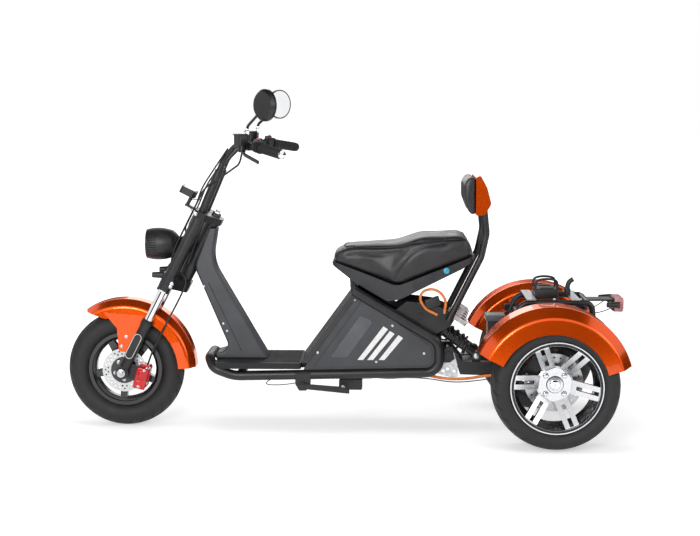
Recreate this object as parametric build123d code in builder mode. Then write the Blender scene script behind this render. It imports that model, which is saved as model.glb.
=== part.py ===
from build123d import *
import math
import os

# Electric trike: one steered front wheel, a step-through frame and two driven rear wheels.
# X points forward, Y to the rider's left and Z up. The origin is on the ground, in the middle
# of the overall length and width. All sizes are millimetres.

# Overall layout
WHEELBASE = 1575.0
OVERALL_WIDTH = 860.0
FENDER_SIDE_GAP = 18.0
FENDER_INNER_GAP = 12.0
TAIL_BEHIND_AXLE = 280.0
FRONT_TYRE_R = 218.0
FRONT_TYRE_W = 106.0
FRONT_SIDEWALL = 80.0
FRONT_RIM_W = 70.0
REAR_TYRE_R = 227.0
REAR_TYRE_W = 160.0
REAR_SIDEWALL = 64.0
REAR_RIM_W = 136.0
SHAFT_GAP = 0.05
REST_GAP = 0.3

# Steering and fork
RAKE = 27.0
STEM_OFFSET = 45.0
FORK_Y = 94.0
LEG_R = 19.0
COLLAR_T = 2.5
STANCHION_R = 15.5
COVER_R = 22.0
LEG_TOP = 208.0
LEG_BOTTOM = -16.0
LOWER_CROWN_LOW = 345.0
LOWER_CROWN_HIGH = 405.0
UPPER_CROWN_LOW = 643.0
UPPER_CROWN_HIGH = 668.0
HEAD_TUBE_R = 27.0
STEM_R = 16.0
FRONT_PIN_R = 7.5

# Frame tubes
RAIL_R = 18.0
RAIL_Y = 125.0
RAIL_FRONT_Z = 212.0
RAIL_REAR_Z = 229.0
PLATE_T = 6.0

# Body panels
DECK_Z = 262.0
COLUMN_HALF_W = 62.0
NECK_HALF_W = 36.0
COVER_ROUND = 9.0
PANEL_T = 7.0
BOX_WALL = 4.0
STRIPE_T = 2.5
FENDER_T = 4.0
FRONT_FENDER_LIFT = 48.0
FRONT_FENDER_HALF_W = 70.0
REAR_FENDER_LIFT = 57.0
SEAT_HALF_W = 150.0
SEAT_NOSE_HALF_W = 105.0

# Brakes and rear axle
FRONT_DISC_R = 82.0
REAR_DISC_GAP = 59.0
DISC_T = 4.0
AXLE_TUBE_R = 30.0
STUB_R = 14.0
DRIVE_R = 78.0

# Handlebar
BAR_R = 11.0
RISER_R = 15.5
GRIP_R = 16.5
BAR_END_Y = 362.0
MIRROR_R = 56.0

# Places that follow from the sizes above
OVERALL_LENGTH = FRONT_TYRE_R + WHEELBASE + TAIL_BEHIND_AXLE
FRONT_AXLE_X = OVERALL_LENGTH / 2 - FRONT_TYRE_R
REAR_AXLE_X = FRONT_AXLE_X - WHEELBASE
REAR_WHEEL_Y = OVERALL_WIDTH / 2 - FENDER_SIDE_GAP - REAR_TYRE_W / 2
FRONT_RIM_R = FRONT_TYRE_R - FRONT_SIDEWALL
REAR_RIM_R = REAR_TYRE_R - REAR_SIDEWALL
REAR_DISC_R = REAR_RIM_R - REAR_DISC_GAP
FRONT_FENDER_R = FRONT_TYRE_R + FRONT_FENDER_LIFT
REAR_FENDER_R = REAR_TYRE_R + REAR_FENDER_LIFT
RAKE_SIN = math.sin(math.radians(RAKE))
RAKE_COS = math.cos(math.radians(RAKE))
fork_plane = Plane(
    origin=(FRONT_AXLE_X, 0, FRONT_TYRE_R),
    x_dir=(RAKE_COS, 0, RAKE_SIN),
    z_dir=(-RAKE_SIN, 0, RAKE_COS),
)

os.makedirs("parts", exist_ok=True)


def save(piece, label):
    """Name a finished piece and write it as its own file."""
    piece.label = label
    export_step(piece, f"parts/{label}.step")


def save_both(piece, label):
    """Write a left-hand piece and its mirror image as two files."""
    save(piece, f"{label}_left")
    save(mirror(piece, about=Plane.XZ), f"{label}_right")


def save_pair(piece, label):
    """Write a left-hand piece and its mirror image as one file of separate solids."""
    save(Compound(piece.solids() + mirror(piece, about=Plane.XZ).solids()), label)


def fork_point(forward, left, up):
    """A point given along the fork: forward of the fork line, to the left, up from the axle."""
    return fork_plane.from_local_coords(Vector(forward, left, up))


def section_plane(x, y, z):
    """The cross-section of a wheel at its top: local x runs along the axle, local y outwards."""
    return Plane(origin=(x, y, z), x_dir=(0, 1, 0), z_dir=(1, 0, 0))


def arch_plane(x, z, angle):
    """The cross-section of a fender at an angle above the forward direction."""
    turn = math.radians(angle)
    return Plane(origin=(x, 0, z), x_dir=(0, 1, 0), z_dir=(math.sin(turn), 0, -math.cos(turn)))


def side_plane(y):
    """A side view at a distance to the left: local x is forward, local y is up, and it faces right."""
    return Plane(origin=(0, y, 0), x_dir=(1, 0, 0), z_dir=(0, -1, 0))


def wheel_plane(x, y, z, turn):
    """A side view whose local x leaves the axle at an angle above the forward direction."""
    angle = math.radians(turn)
    return Plane(origin=(x, y, z), x_dir=(math.cos(angle), 0, math.sin(angle)), z_dir=(0, -1, 0))


# Tyres: a round crown, full shoulders and a bulging sidewall down to the bead, hollow inside
BEAD_DEPTH = 8.0
TYRES = (
    # name, axle x, centre y, outer radius, width, rim radius, rim width, shoulder share, wall
    ("front_tyre", FRONT_AXLE_X, 0.0, FRONT_TYRE_R, FRONT_TYRE_W, FRONT_RIM_R, FRONT_RIM_W, 0.74, 9.0),
    ("rear_tyre_left", REAR_AXLE_X, REAR_WHEEL_Y, REAR_TYRE_R, REAR_TYRE_W, REAR_RIM_R, REAR_RIM_W, 0.84, 10.0),
    ("rear_tyre_right", REAR_AXLE_X, -REAR_WHEEL_Y, REAR_TYRE_R, REAR_TYRE_W, REAR_RIM_R, REAR_RIM_W, 0.84, 10.0),
)
for name, axle_x, wheel_y, outer_r, width, rim_r, rim_w, shoulder, wall in TYRES:
    bead_r = rim_r - BEAD_DEPTH
    with BuildPart() as tyre:
        with BuildSketch(section_plane(axle_x, wheel_y, outer_r)):
            for inset, mode in ((0.0, Mode.ADD), (wall, Mode.SUBTRACT)):
                foot_y = rim_w / 2 - 4 - inset
                side_y = width / 2 - inset
                side_r = (outer_r + bead_r) / 2
                edge_y = width / 2 * shoulder - inset / 2
                edge_r = outer_r - (outer_r - bead_r) * 0.16 - inset
                with BuildLine():
                    Line((-foot_y, bead_r), (-foot_y, rim_r + 1))
                    ThreePointArc((-foot_y, rim_r + 1), (-side_y, side_r), (-edge_y, edge_r))
                    ThreePointArc((-edge_y, edge_r), (0, outer_r - inset), (edge_y, edge_r))
                    ThreePointArc((edge_y, edge_r), (side_y, side_r), (foot_y, rim_r + 1))
                    Line((foot_y, rim_r + 1), (foot_y, bead_r))
                    Line((foot_y, bead_r), (-foot_y, bead_r))
                make_face(mode=mode)
        revolve(axis=Axis((axle_x, 0, outer_r), (0, 1, 0)))
    save(tyre.part, name)


def rim_outline(width, flange_r, well_r, wall):
    """Draw one closed rim section: two flanges, two bead seats and a dropped well."""
    half = width / 2
    seat_r = flange_r - 8
    Polyline(
        (-half, flange_r),
        (-half + 4, flange_r),
        (-half + 4, seat_r),
        (-half + 16, seat_r),
        (-half * 0.45, well_r + wall),
        (half * 0.45, well_r + wall),
        (half - 16, seat_r),
        (half - 4, seat_r),
        (half - 4, flange_r),
        (half, flange_r),
        (half, seat_r - wall),
        (half - 14, seat_r - wall),
        (half * 0.4, well_r),
        (-half * 0.4, well_r),
        (-half + 14, seat_r - wall),
        (-half, seat_r - wall),
        close=True,
    )


# Front wheel: black cast rim with five plain spokes and a drum-shaped hub
FRONT_SPOKES = 5
FRONT_SPOKE_TURN = -12.0
FRONT_HUB_R = 40.0
FRONT_HUB_HALF = 44.0
FRONT_WELL_R = FRONT_RIM_R - 26
front_axis = Axis((FRONT_AXLE_X, 0, FRONT_TYRE_R), (0, 1, 0))
with BuildPart() as front_rim:
    with BuildSketch(section_plane(FRONT_AXLE_X, 0, FRONT_TYRE_R)):
        with BuildLine():
            rim_outline(FRONT_RIM_W, FRONT_RIM_R, FRONT_WELL_R, 5)
        make_face()
        with BuildLine():
            Polyline(
                (-FRONT_HUB_HALF, FRONT_PIN_R + SHAFT_GAP),
                (-FRONT_HUB_HALF, 24),
                (-30, 28),
                (-22, FRONT_HUB_R),
                (30, FRONT_HUB_R),
                (FRONT_HUB_HALF, FRONT_HUB_R - 2),
                (FRONT_HUB_HALF, FRONT_PIN_R + SHAFT_GAP),
                close=True,
            )
        make_face()
    revolve(axis=front_axis)
    for spoke in range(FRONT_SPOKES):
        turn = FRONT_SPOKE_TURN + spoke * 360 / FRONT_SPOKES
        with BuildSketch(wheel_plane(FRONT_AXLE_X, 0, FRONT_TYRE_R, turn)):
            with BuildLine():
                Polyline(
                    (FRONT_HUB_R - 4, -17),
                    (FRONT_WELL_R + 3, -12),
                    (FRONT_WELL_R + 3, 12),
                    (FRONT_HUB_R - 4, 17),
                    close=True,
                )
            make_face()
        extrude(amount=16, both=True)
save(front_rim.part, "front_rim")

# Front brake disc: drilled ring on a dark carrier, on the left of the hub
DISC_HOLES = 24
FRONT_CARRIER_R = 50.0
CARRIER_LIFT = 2.0
front_disc_y = FRONT_HUB_HALF + 12
with BuildPart() as front_disc:
    with BuildSketch(side_plane(front_disc_y)):
        with Locations((FRONT_AXLE_X, FRONT_TYRE_R)):
            Circle(FRONT_DISC_R)
            Circle(FRONT_PIN_R + SHAFT_GAP, mode=Mode.SUBTRACT)
            with PolarLocations(FRONT_DISC_R - 11, DISC_HOLES):
                Circle(3.2, mode=Mode.SUBTRACT)
            with PolarLocations(FRONT_DISC_R - 21, DISC_HOLES, start_angle=7.5):
                Circle(3.2, mode=Mode.SUBTRACT)
    extrude(amount=DISC_T)
    with BuildSketch(side_plane(front_disc_y + CARRIER_LIFT)):
        with Locations((FRONT_AXLE_X, FRONT_TYRE_R)):
            Circle(FRONT_CARRIER_R)
            Circle(FRONT_PIN_R + SHAFT_GAP, mode=Mode.SUBTRACT)
    extrude(amount=front_disc_y + CARRIER_LIFT - FRONT_HUB_HALF)
save(front_disc.part, "front_disc")

# Front axle pin with its two nuts
with BuildPart() as front_axle:
    with BuildSketch(side_plane(FORK_Y + LEG_R + 16)):
        with Locations((FRONT_AXLE_X, FRONT_TYRE_R)):
            Circle(FRONT_PIN_R)
    extrude(amount=2 * (FORK_Y + LEG_R + 16))
    for start in (FORK_Y + LEG_R + 11, -FORK_Y - LEG_R):
        with BuildSketch(side_plane(start)):
            with Locations((FRONT_AXLE_X, FRONT_TYRE_R)):
                RegularPolygon(13, 6)
        extrude(amount=11)
save(front_axle.part, "front_axle")

# Rear wheels: six double spokes that slope in from the lip to a deep hub, and a drilled disc inside
REAR_SPOKES = 6
REAR_SPOKE_TURN = 8.0
REAR_SPOKE_W = 50.0
REAR_SPOKE_T = 17.0
REAR_SLOT_W = 14.0
REAR_WELL_R = REAR_RIM_R - 27
REAR_LIP_Y = REAR_RIM_W / 2 - 7
REAR_HUB_FACE = -6.0
REAR_HUB_R = 38.0
REAR_BOSS_R = 66.0
REAR_HUB_IN = -42.0
REAR_NUTS = 4
REAR_NUT_PCD_R = 46.0
spoke_end_r = REAR_RIM_R - 12
rear_disc_y = REAR_WHEEL_Y + REAR_HUB_IN
rear_axis = Axis((REAR_AXLE_X, 0, REAR_TYRE_R), (0, 1, 0))
hub_face_y = REAR_WHEEL_Y + REAR_HUB_FACE


def spoke_plane(turn):
    """The radial section of the left rear wheel at an angle: local x leaves the axle, y is left."""
    angle = math.radians(turn)
    return Plane(
        origin=(REAR_AXLE_X, REAR_WHEEL_Y, REAR_TYRE_R),
        x_dir=(math.cos(angle), 0, math.sin(angle)),
        z_dir=(-math.sin(angle), 0, math.cos(angle)),
    )


with BuildPart() as rear_rim:
    with BuildSketch(section_plane(REAR_AXLE_X, REAR_WHEEL_Y, REAR_TYRE_R)):
        with BuildLine():
            rim_outline(REAR_RIM_W, REAR_RIM_R, REAR_WELL_R, 5)
        make_face()
        with BuildLine():
            Polyline(
                (REAR_HUB_IN, STUB_R + SHAFT_GAP),
                (REAR_HUB_IN, REAR_HUB_R),
                (REAR_HUB_FACE - REAR_SPOKE_T, REAR_HUB_R),
                (REAR_HUB_FACE - REAR_SPOKE_T, REAR_BOSS_R),
                (REAR_HUB_FACE - 2, REAR_BOSS_R),
                (REAR_HUB_FACE, REAR_BOSS_R - 6),
                (REAR_HUB_FACE, 31),
                (REAR_HUB_FACE + 5, 28),
                (REAR_HUB_FACE + 8, 0),
                (REAR_HUB_FACE - 4, 0),
                (REAR_HUB_FACE - 4, STUB_R + SHAFT_GAP),
                close=True,
            )
        make_face()
    revolve(axis=rear_axis)
    for spoke in range(REAR_SPOKES):
        turn = REAR_SPOKE_TURN + spoke * 360 / REAR_SPOKES
        with BuildSketch(spoke_plane(turn)):
            with BuildLine():
                Polyline(
                    (REAR_BOSS_R - 10, REAR_HUB_FACE - REAR_SPOKE_T),
                    (REAR_BOSS_R - 10, REAR_HUB_FACE),
                    (spoke_end_r - 8, REAR_LIP_Y),
                    (spoke_end_r, REAR_LIP_Y),
                    (spoke_end_r, REAR_LIP_Y - REAR_SPOKE_T),
                    close=True,
                )
            make_face()
        extrude(amount=REAR_SPOKE_W / 2, both=True)
    for spoke in range(REAR_SPOKES):
        turn = REAR_SPOKE_TURN + spoke * 360 / REAR_SPOKES
        with BuildSketch(spoke_plane(turn)):
            with BuildLine():
                Polyline(
                    (REAR_BOSS_R + 8, REAR_HUB_IN),
                    (REAR_BOSS_R + 8, REAR_LIP_Y + 10),
                    (spoke_end_r - 5, REAR_LIP_Y + 10),
                    (spoke_end_r - 5, REAR_LIP_Y - 9),
                    (REAR_WELL_R - 3, REAR_RIM_W * 0.2),
                    (REAR_WELL_R - 3, REAR_HUB_IN),
                    close=True,
                )
            make_face()
        extrude(amount=REAR_SLOT_W / 2, both=True, mode=Mode.SUBTRACT)
    with BuildSketch(wheel_plane(REAR_AXLE_X, hub_face_y, REAR_TYRE_R, 45)):
        with PolarLocations(REAR_NUT_PCD_R, REAR_NUTS):
            Circle(10)
    extrude(amount=6, mode=Mode.SUBTRACT)
save_both(rear_rim.part, "rear_rim")

with BuildPart() as rear_disc:
    with BuildSketch(side_plane(rear_disc_y)):
        with Locations((REAR_AXLE_X, REAR_TYRE_R)):
            Circle(REAR_DISC_R)
            Circle(STUB_R + SHAFT_GAP, mode=Mode.SUBTRACT)
            with PolarLocations(REAR_DISC_R - 14, DISC_HOLES):
                Circle(3.5, mode=Mode.SUBTRACT)
    extrude(amount=DISC_T)
save_both(rear_disc.part, "rear_disc")

# Fork: chrome stanchions in black legs, clamped in two crowns, with black covers between them
with BuildPart() as fork_stanchions:
    with BuildSketch(fork_plane.offset(LEG_TOP - 40)):
        with Locations((0, FORK_Y), (0, -FORK_Y)):
            Circle(STANCHION_R)
    extrude(amount=LOWER_CROWN_HIGH + 60 - LEG_TOP + 40)
save(fork_stanchions.part, "fork_stanchions")

CALIPER_LUG_T = 8.0
LEG_PLATE_LENGTH = 106.0
LEG_PLATE_W = 32.0
LEG_PLATE_T = 3.0
leg_plate = fork_point(4, 0, 110)
caliper_outer_y = FORK_Y - LEG_R + 3
with BuildPart() as fork_legs:
    with BuildSketch(fork_plane.offset(LEG_BOTTOM)):
        with Locations((0, FORK_Y), (0, -FORK_Y)):
            Circle(LEG_R)
    extrude(amount=LEG_TOP - LEG_BOTTOM)
    with BuildSketch(fork_plane.offset(LEG_TOP - 14)):
        with Locations((0, FORK_Y), (0, -FORK_Y)):
            Circle(LEG_R + COLLAR_T)
    extrude(amount=14)
    for sign in (1, -1):
        with BuildSketch(side_plane(sign * (FORK_Y + LEG_R) + (0 if sign > 0 else LEG_R))):
            with Locations((FRONT_AXLE_X, FRONT_TYRE_R)):
                Circle(24)
        extrude(amount=LEG_R)
    for start in (FORK_Y + LEG_R + LEG_PLATE_T, 8 - FORK_Y - LEG_R):
        with BuildSketch(wheel_plane(leg_plate.X, start, leg_plate.Z, 90 + RAKE)):
            SlotOverall(LEG_PLATE_LENGTH, LEG_PLATE_W)
        extrude(amount=8 + LEG_PLATE_T)
    with BuildSketch(side_plane(caliper_outer_y + CALIPER_LUG_T)):
        with BuildLine():
            Polyline(
                (FRONT_AXLE_X + 4, FRONT_TYRE_R + 40),
                (FRONT_AXLE_X - 78, FRONT_TYRE_R + 16),
                (FRONT_AXLE_X - 88, FRONT_TYRE_R - 42),
                (FRONT_AXLE_X - 62, FRONT_TYRE_R - 46),
                (FRONT_AXLE_X - 6, FRONT_TYRE_R - 18),
                close=True,
            )
        make_face()
    extrude(amount=CALIPER_LUG_T)
    with BuildSketch(fork_plane.offset(LEG_TOP - 40)):
        with Locations((0, FORK_Y), (0, -FORK_Y)):
            Circle(STANCHION_R)
    extrude(amount=60, mode=Mode.SUBTRACT)
    with BuildSketch(side_plane(FORK_Y + LEG_R + 16)):
        with Locations((FRONT_AXLE_X, FRONT_TYRE_R)):
            Circle(FRONT_PIN_R)
    extrude(amount=2 * (FORK_Y + LEG_R + 16), mode=Mode.SUBTRACT)
save(fork_legs.part, "fork_legs")

with BuildPart() as fork_covers:
    with BuildSketch(fork_plane.offset(LOWER_CROWN_HIGH)):
        with Locations((0, FORK_Y), (0, -FORK_Y)):
            Circle(COVER_R)
            Circle(STANCHION_R, mode=Mode.SUBTRACT)
    extrude(amount=UPPER_CROWN_LOW - LOWER_CROWN_HIGH)
save(fork_covers.part, "fork_covers")

with BuildPart() as fork_crowns:
    for low, high in ((LOWER_CROWN_LOW + 18, LOWER_CROWN_HIGH), (UPPER_CROWN_LOW, UPPER_CROWN_HIGH)):
        with BuildSketch(fork_plane.offset(low)):
            with BuildLine():
                Polyline(
                    (24, -FORK_Y - 8),
                    (24, FORK_Y + 8),
                    (4, FORK_Y + 24),
                    (-20, FORK_Y + 18),
                    (-STEM_OFFSET - 32, 30),
                    (-STEM_OFFSET - 32, -30),
                    (-20, -FORK_Y - 18),
                    (4, -FORK_Y - 24),
                    close=True,
                )
            make_face()
        extrude(amount=high - low)
    with BuildSketch(fork_plane.offset(LOWER_CROWN_LOW)):
        with Locations((0, FORK_Y), (0, -FORK_Y)):
            Circle(COVER_R + 2)
    extrude(amount=LOWER_CROWN_HIGH - LOWER_CROWN_LOW)
    with BuildSketch(fork_plane.offset(LOWER_CROWN_LOW)):
        with Locations((0, FORK_Y), (0, -FORK_Y)):
            Circle(STANCHION_R)
    extrude(amount=LOWER_CROWN_HIGH - LOWER_CROWN_LOW, mode=Mode.SUBTRACT)
    with BuildSketch(fork_plane.offset(LOWER_CROWN_HIGH)):
        with Locations((-STEM_OFFSET, 0)):
            Circle(STEM_R)
    extrude(amount=UPPER_CROWN_LOW - LOWER_CROWN_HIGH)
    with BuildSketch(fork_plane.offset(UPPER_CROWN_HIGH)):
        with Locations((-STEM_OFFSET, 0)):
            RegularPolygon(17, 6)
    extrude(amount=12)
save(fork_crowns.part, "fork_crowns")

# Front fender: a crowned arch over the tyre with a bolted tongue down to each fork leg
FENDER_FRONT_ANGLE = 58.0
FENDER_REAR_ANGLE = 178.0
TONGUE_T = 3.5
tongue_y = FORK_Y - LEG_R - COLLAR_T
with BuildPart() as front_fender:
    with BuildSketch(arch_plane(FRONT_AXLE_X, FRONT_TYRE_R, FENDER_FRONT_ANGLE)):
        with BuildLine():
            FilletPolyline(
                (-FRONT_FENDER_HALF_W, FRONT_FENDER_R - 62),
                (-FRONT_FENDER_HALF_W + 3, FRONT_FENDER_R - 22),
                (-32, FRONT_FENDER_R - 2),
                (32, FRONT_FENDER_R - 2),
                (FRONT_FENDER_HALF_W - 3, FRONT_FENDER_R - 22),
                (FRONT_FENDER_HALF_W, FRONT_FENDER_R - 62),
                radius=18,
            )
        trace(line_width=FENDER_T)
    revolve(
        axis=Axis((FRONT_AXLE_X, 0, FRONT_TYRE_R), (0, -1, 0)),
        revolution_arc=FENDER_REAR_ANGLE - FENDER_FRONT_ANGLE,
    )
    with BuildSketch(side_plane(FRONT_FENDER_HALF_W + FENDER_T)):
        with BuildLine():
            Polyline(
                (FRONT_AXLE_X + 34, FRONT_TYRE_R + 184),
                (FRONT_AXLE_X + 128, FRONT_TYRE_R + 216),
                (FRONT_AXLE_X + 200, FRONT_TYRE_R + 216),
                (FRONT_AXLE_X + 200, FRONT_TYRE_R + 60),
                (FRONT_AXLE_X + 34, FRONT_TYRE_R + 60),
                close=True,
            )
        make_face()
    extrude(amount=2 * (FRONT_FENDER_HALF_W + FENDER_T), mode=Mode.SUBTRACT)
    for y in (tongue_y, -tongue_y + TONGUE_T):
        with BuildSketch(side_plane(y)):
            with BuildLine():
                Polyline(
                    (FRONT_AXLE_X + 70, FRONT_TYRE_R + 218),
                    (FRONT_AXLE_X + 22, FRONT_TYRE_R + 160),
                    (FRONT_AXLE_X + 16, FRONT_TYRE_R + 74),
                    (FRONT_AXLE_X - 12, FRONT_TYRE_R + 70),
                    (FRONT_AXLE_X - 50, FRONT_TYRE_R + 130),
                    (FRONT_AXLE_X - 96, FRONT_TYRE_R + 206),
                    close=True,
                )
            make_face()
        extrude(amount=TONGUE_T)
save(front_fender.part, "front_fender")

# Front brake: a caliper over the disc, held by a lug on the left fork leg
CALIPER_BACK = 73.0
caliper_slot = DISC_T + 10
caliper_inner_y = front_disc_y - DISC_T - 14
with BuildPart() as front_caliper:
    with BuildSketch(side_plane(caliper_outer_y)):
        with Locations(Location((FRONT_AXLE_X - CALIPER_BACK, FRONT_TYRE_R - 18, 0), (0, 0, 14))):
            RectangleRounded(46, 88, 12)
    extrude(amount=caliper_outer_y - caliper_inner_y)
    with BuildSketch(side_plane(front_disc_y + 5)):
        with Locations((FRONT_AXLE_X, FRONT_TYRE_R)):
            Circle(FRONT_DISC_R + 6)
    extrude(amount=caliper_slot, mode=Mode.SUBTRACT)
save(front_caliper.part, "front_caliper")

# Headlamp: a bullet-shaped can with a flat lens, on a bar between the fork covers
LAMP_Z = 688.0
LAMP_FRONT_X = 734.0
LAMP_REAR_X = 608.0
LAMP_R = 60.0
LENS_R = 51.0
LENS_T = 9.0
lamp_plane = Plane(origin=(0, 0, LAMP_Z), x_dir=(1, 0, 0), z_dir=(0, -1, 0))
lamp_axis = Axis((0, 0, LAMP_Z), (1, 0, 0))
with BuildPart() as headlamp:
    with BuildSketch(lamp_plane):
        with BuildLine():
            Line((LAMP_FRONT_X - LENS_T, 0), (LAMP_FRONT_X - LENS_T, LENS_R))
            Line((LAMP_FRONT_X - LENS_T, LENS_R), (LAMP_FRONT_X, LENS_R))
            Line((LAMP_FRONT_X, LENS_R), (LAMP_FRONT_X - 4, LAMP_R - 5))
            ThreePointArc(
                (LAMP_FRONT_X - 4, LAMP_R - 5),
                (LAMP_FRONT_X - 45, LAMP_R),
                (LAMP_REAR_X + 28, LAMP_R - 10),
            )
            ThreePointArc(
                (LAMP_REAR_X + 28, LAMP_R - 10),
                (LAMP_REAR_X + 9, LAMP_R - 28),
                (LAMP_REAR_X, 14),
            )
            Line((LAMP_REAR_X, 14), (LAMP_REAR_X, 0))
            Line((LAMP_REAR_X, 0), (LAMP_FRONT_X - LENS_T, 0))
        make_face()
    revolve(axis=lamp_axis)
with BuildPart() as headlamp_lens:
    with BuildSketch(Plane.YZ.offset(LAMP_FRONT_X - LENS_T)):
        with Locations((0, LAMP_Z)):
            Circle(LENS_R - REST_GAP)
    extrude(amount=LENS_T - 1)
save(headlamp_lens.part, "headlamp_lens")

with BuildPart() as headlamp_bracket:
    with BuildSketch(Plane.XY.offset(LAMP_Z - 22)):
        with BuildLine():
            Polyline(
                (LAMP_REAR_X, -18),
                (LAMP_REAR_X, 18),
                (LAMP_REAR_X - 14, 34),
                (LAMP_REAR_X - 20, FORK_Y),
                (LAMP_REAR_X - 34, FORK_Y),
                (LAMP_REAR_X - 26, 0),
                (LAMP_REAR_X - 34, -FORK_Y),
                (LAMP_REAR_X - 20, -FORK_Y),
                (LAMP_REAR_X - 14, -34),
                close=True,
            )
        make_face()
    extrude(amount=44)
    add(fork_covers.part, mode=Mode.SUBTRACT)
    add(fork_stanchions.part, mode=Mode.SUBTRACT)
    add(headlamp.part)
save(headlamp_bracket.part.solids().sort_by(SortBy.VOLUME)[-1], "headlamp")

# Front indicators on a thin bar in front of the lower crown
INDICATOR_R = 13.0
INDICATOR_LENGTH = 40.0
INDICATOR_Y = 84.0
indicator_bar = fork_point(28, 0, LOWER_CROWN_HIGH - 12)
with BuildPart() as front_indicators:
    with BuildSketch(side_plane(INDICATOR_Y)):
        with Locations((indicator_bar.X, indicator_bar.Z)):
            Circle(5)
    extrude(amount=2 * INDICATOR_Y)
    with BuildSketch(Plane.YZ.offset(indicator_bar.X - 4)):
        with Locations((INDICATOR_Y, indicator_bar.Z), (-INDICATOR_Y, indicator_bar.Z)):
            Circle(INDICATOR_R)
    extrude(amount=INDICATOR_LENGTH, taper=4)
    add(fork_crowns.part, mode=Mode.SUBTRACT)
save(front_indicators.part, "front_indicators")

# Handlebar: two risers from the upper crown that turn out and back into the grips
RISER_Y = 55.0
GRIP_LENGTH = 142.0
BAR_END_X = 203.0
BAR_END_Z = 1036.0
riser_foot = fork_point(0, RISER_Y, UPPER_CROWN_LOW + 4)
riser_top = Vector(436, RISER_Y + 3, 1005)
bar_bend = Vector(388, 110, 1056)
bar_sweep = Vector(310, 222, 1060)
bar_end = Vector(BAR_END_X, BAR_END_Y, BAR_END_Z)
grip_way = (bar_sweep - bar_end).normalized()
with BuildPart() as handlebar:
    with BuildLine() as bar_path:
        FilletPolyline(riser_foot, riser_top, bar_bend, bar_sweep, bar_end, radius=(45, 55, 60))
    with BuildSketch(Plane(origin=riser_foot, z_dir=riser_top - riser_foot)):
        Circle(BAR_R)
    sweep(path=bar_path.wires()[0])
    with BuildSketch(Plane(origin=riser_foot, z_dir=riser_top - riser_foot)):
        Circle(RISER_R)
    extrude(amount=(riser_top - riser_foot).length - 44)
    mirror(about=Plane.XZ)
    with BuildSketch(Plane.XZ.offset(-RISER_Y)):
        with Locations((riser_top.X + 14, riser_top.Z - 34)):
            Circle(9)
    extrude(amount=2 * RISER_Y)
    add(fork_crowns.part, mode=Mode.SUBTRACT)
save(handlebar.part, "handlebar")

LEVER_R = 5.0
bar_clamp = bar_bend + (bar_sweep - bar_bend) * 0.72
bar_way = (bar_sweep - bar_bend).normalized()
MIRROR_X = 264.0
MIRROR_Y = 310.0
MIRROR_Z = 1204.0
MIRROR_TOE = 45.0
MIRROR_T = 20.0
mirror_way = Vector(math.cos(math.radians(MIRROR_TOE)), math.sin(math.radians(MIRROR_TOE)), 0)
mirror_centre = Vector(MIRROR_X, MIRROR_Y, MIRROR_Z)
grip_end = bar_end - grip_way * 6
with BuildPart() as grip:
    with BuildSketch(Plane(origin=grip_end, z_dir=grip_way)):
        Circle(GRIP_R)
    extrude(amount=GRIP_LENGTH)
    with BuildSketch(Plane(origin=grip_end + grip_way * GRIP_LENGTH, z_dir=grip_way)):
        Circle(GRIP_R + 5)
    extrude(amount=-5)
    add(handlebar.part, mode=Mode.SUBTRACT)
save_pair(grip.part, "grips")

with BuildPart() as brake_lever:
    with BuildSketch(Plane(origin=bar_clamp - bar_way * 11, z_dir=bar_way)):
        Circle(BAR_R + 6)
    extrude(amount=22)
    with BuildSketch(Plane.XY.offset(bar_clamp.Z + 4)):
        with Locations(Location((bar_clamp.X + 27, bar_clamp.Y + 12, 0), (0, 0, -55))):
            RectangleRounded(48, 32, 5)
    extrude(amount=36)
    with BuildSketch(Plane.XY.offset(bar_clamp.Z - 22)):
        with Locations((bar_clamp.X + 22, bar_clamp.Y + 14)):
            Circle(13)
    extrude(amount=30)
    with BuildLine() as lever_path:
        FilletPolyline(
            bar_clamp + Vector(22, 14, -16),
            bar_clamp + Vector(8, 52, -30),
            bar_clamp + Vector(-46, 132, -52),
            radius=40,
        )
    with BuildSketch(Plane(origin=lever_path.line @ 0, z_dir=lever_path.line % 0)):
        Ellipse(LEVER_R + 2, LEVER_R)
    sweep(path=lever_path.wires()[0])
    add(handlebar.part, mode=Mode.SUBTRACT)
lever_piece = brake_lever.part.solids().sort_by(SortBy.VOLUME)[-1]
save_pair(lever_piece, "brake_levers")

MIRROR_RIM = 4.0
MIRROR_SINK = 3.0
mirror_face = mirror_centre - mirror_way * MIRROR_T / 2
with BuildPart() as mirror_head:
    with BuildLine() as stem_path:
        FilletPolyline(
            bar_clamp + Vector(4, 4, 8),
            bar_clamp + Vector(4, 8, 68),
            mirror_centre + mirror_way * 2 - Vector(0, 0, 10),
            radius=30,
        )
    with BuildSketch(Plane(origin=stem_path.line @ 0, z_dir=stem_path.line % 0)):
        Circle(5)
    sweep(path=stem_path.wires()[0])
    add(handlebar.part, mode=Mode.SUBTRACT)
    add(lever_piece, mode=Mode.SUBTRACT)
    with BuildSketch(Plane(origin=mirror_face - mirror_way * 40, z_dir=mirror_way)):
        Circle(MIRROR_R)
    extrude(amount=40, mode=Mode.SUBTRACT)
    with BuildSketch(Plane(origin=mirror_face, z_dir=mirror_way)):
        Circle(MIRROR_R)
    extrude(amount=MIRROR_T * 0.5)
    with BuildSketch(Plane(origin=mirror_centre, z_dir=mirror_way)):
        Circle(MIRROR_R)
    extrude(amount=MIRROR_T * 0.5, taper=40)
    with BuildSketch(Plane(origin=mirror_face, z_dir=mirror_way)):
        Circle(MIRROR_R - MIRROR_RIM)
    extrude(amount=MIRROR_SINK, mode=Mode.SUBTRACT)
save_pair(mirror_head.part.solids().sort_by(SortBy.VOLUME)[-1], "mirrors")

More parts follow.
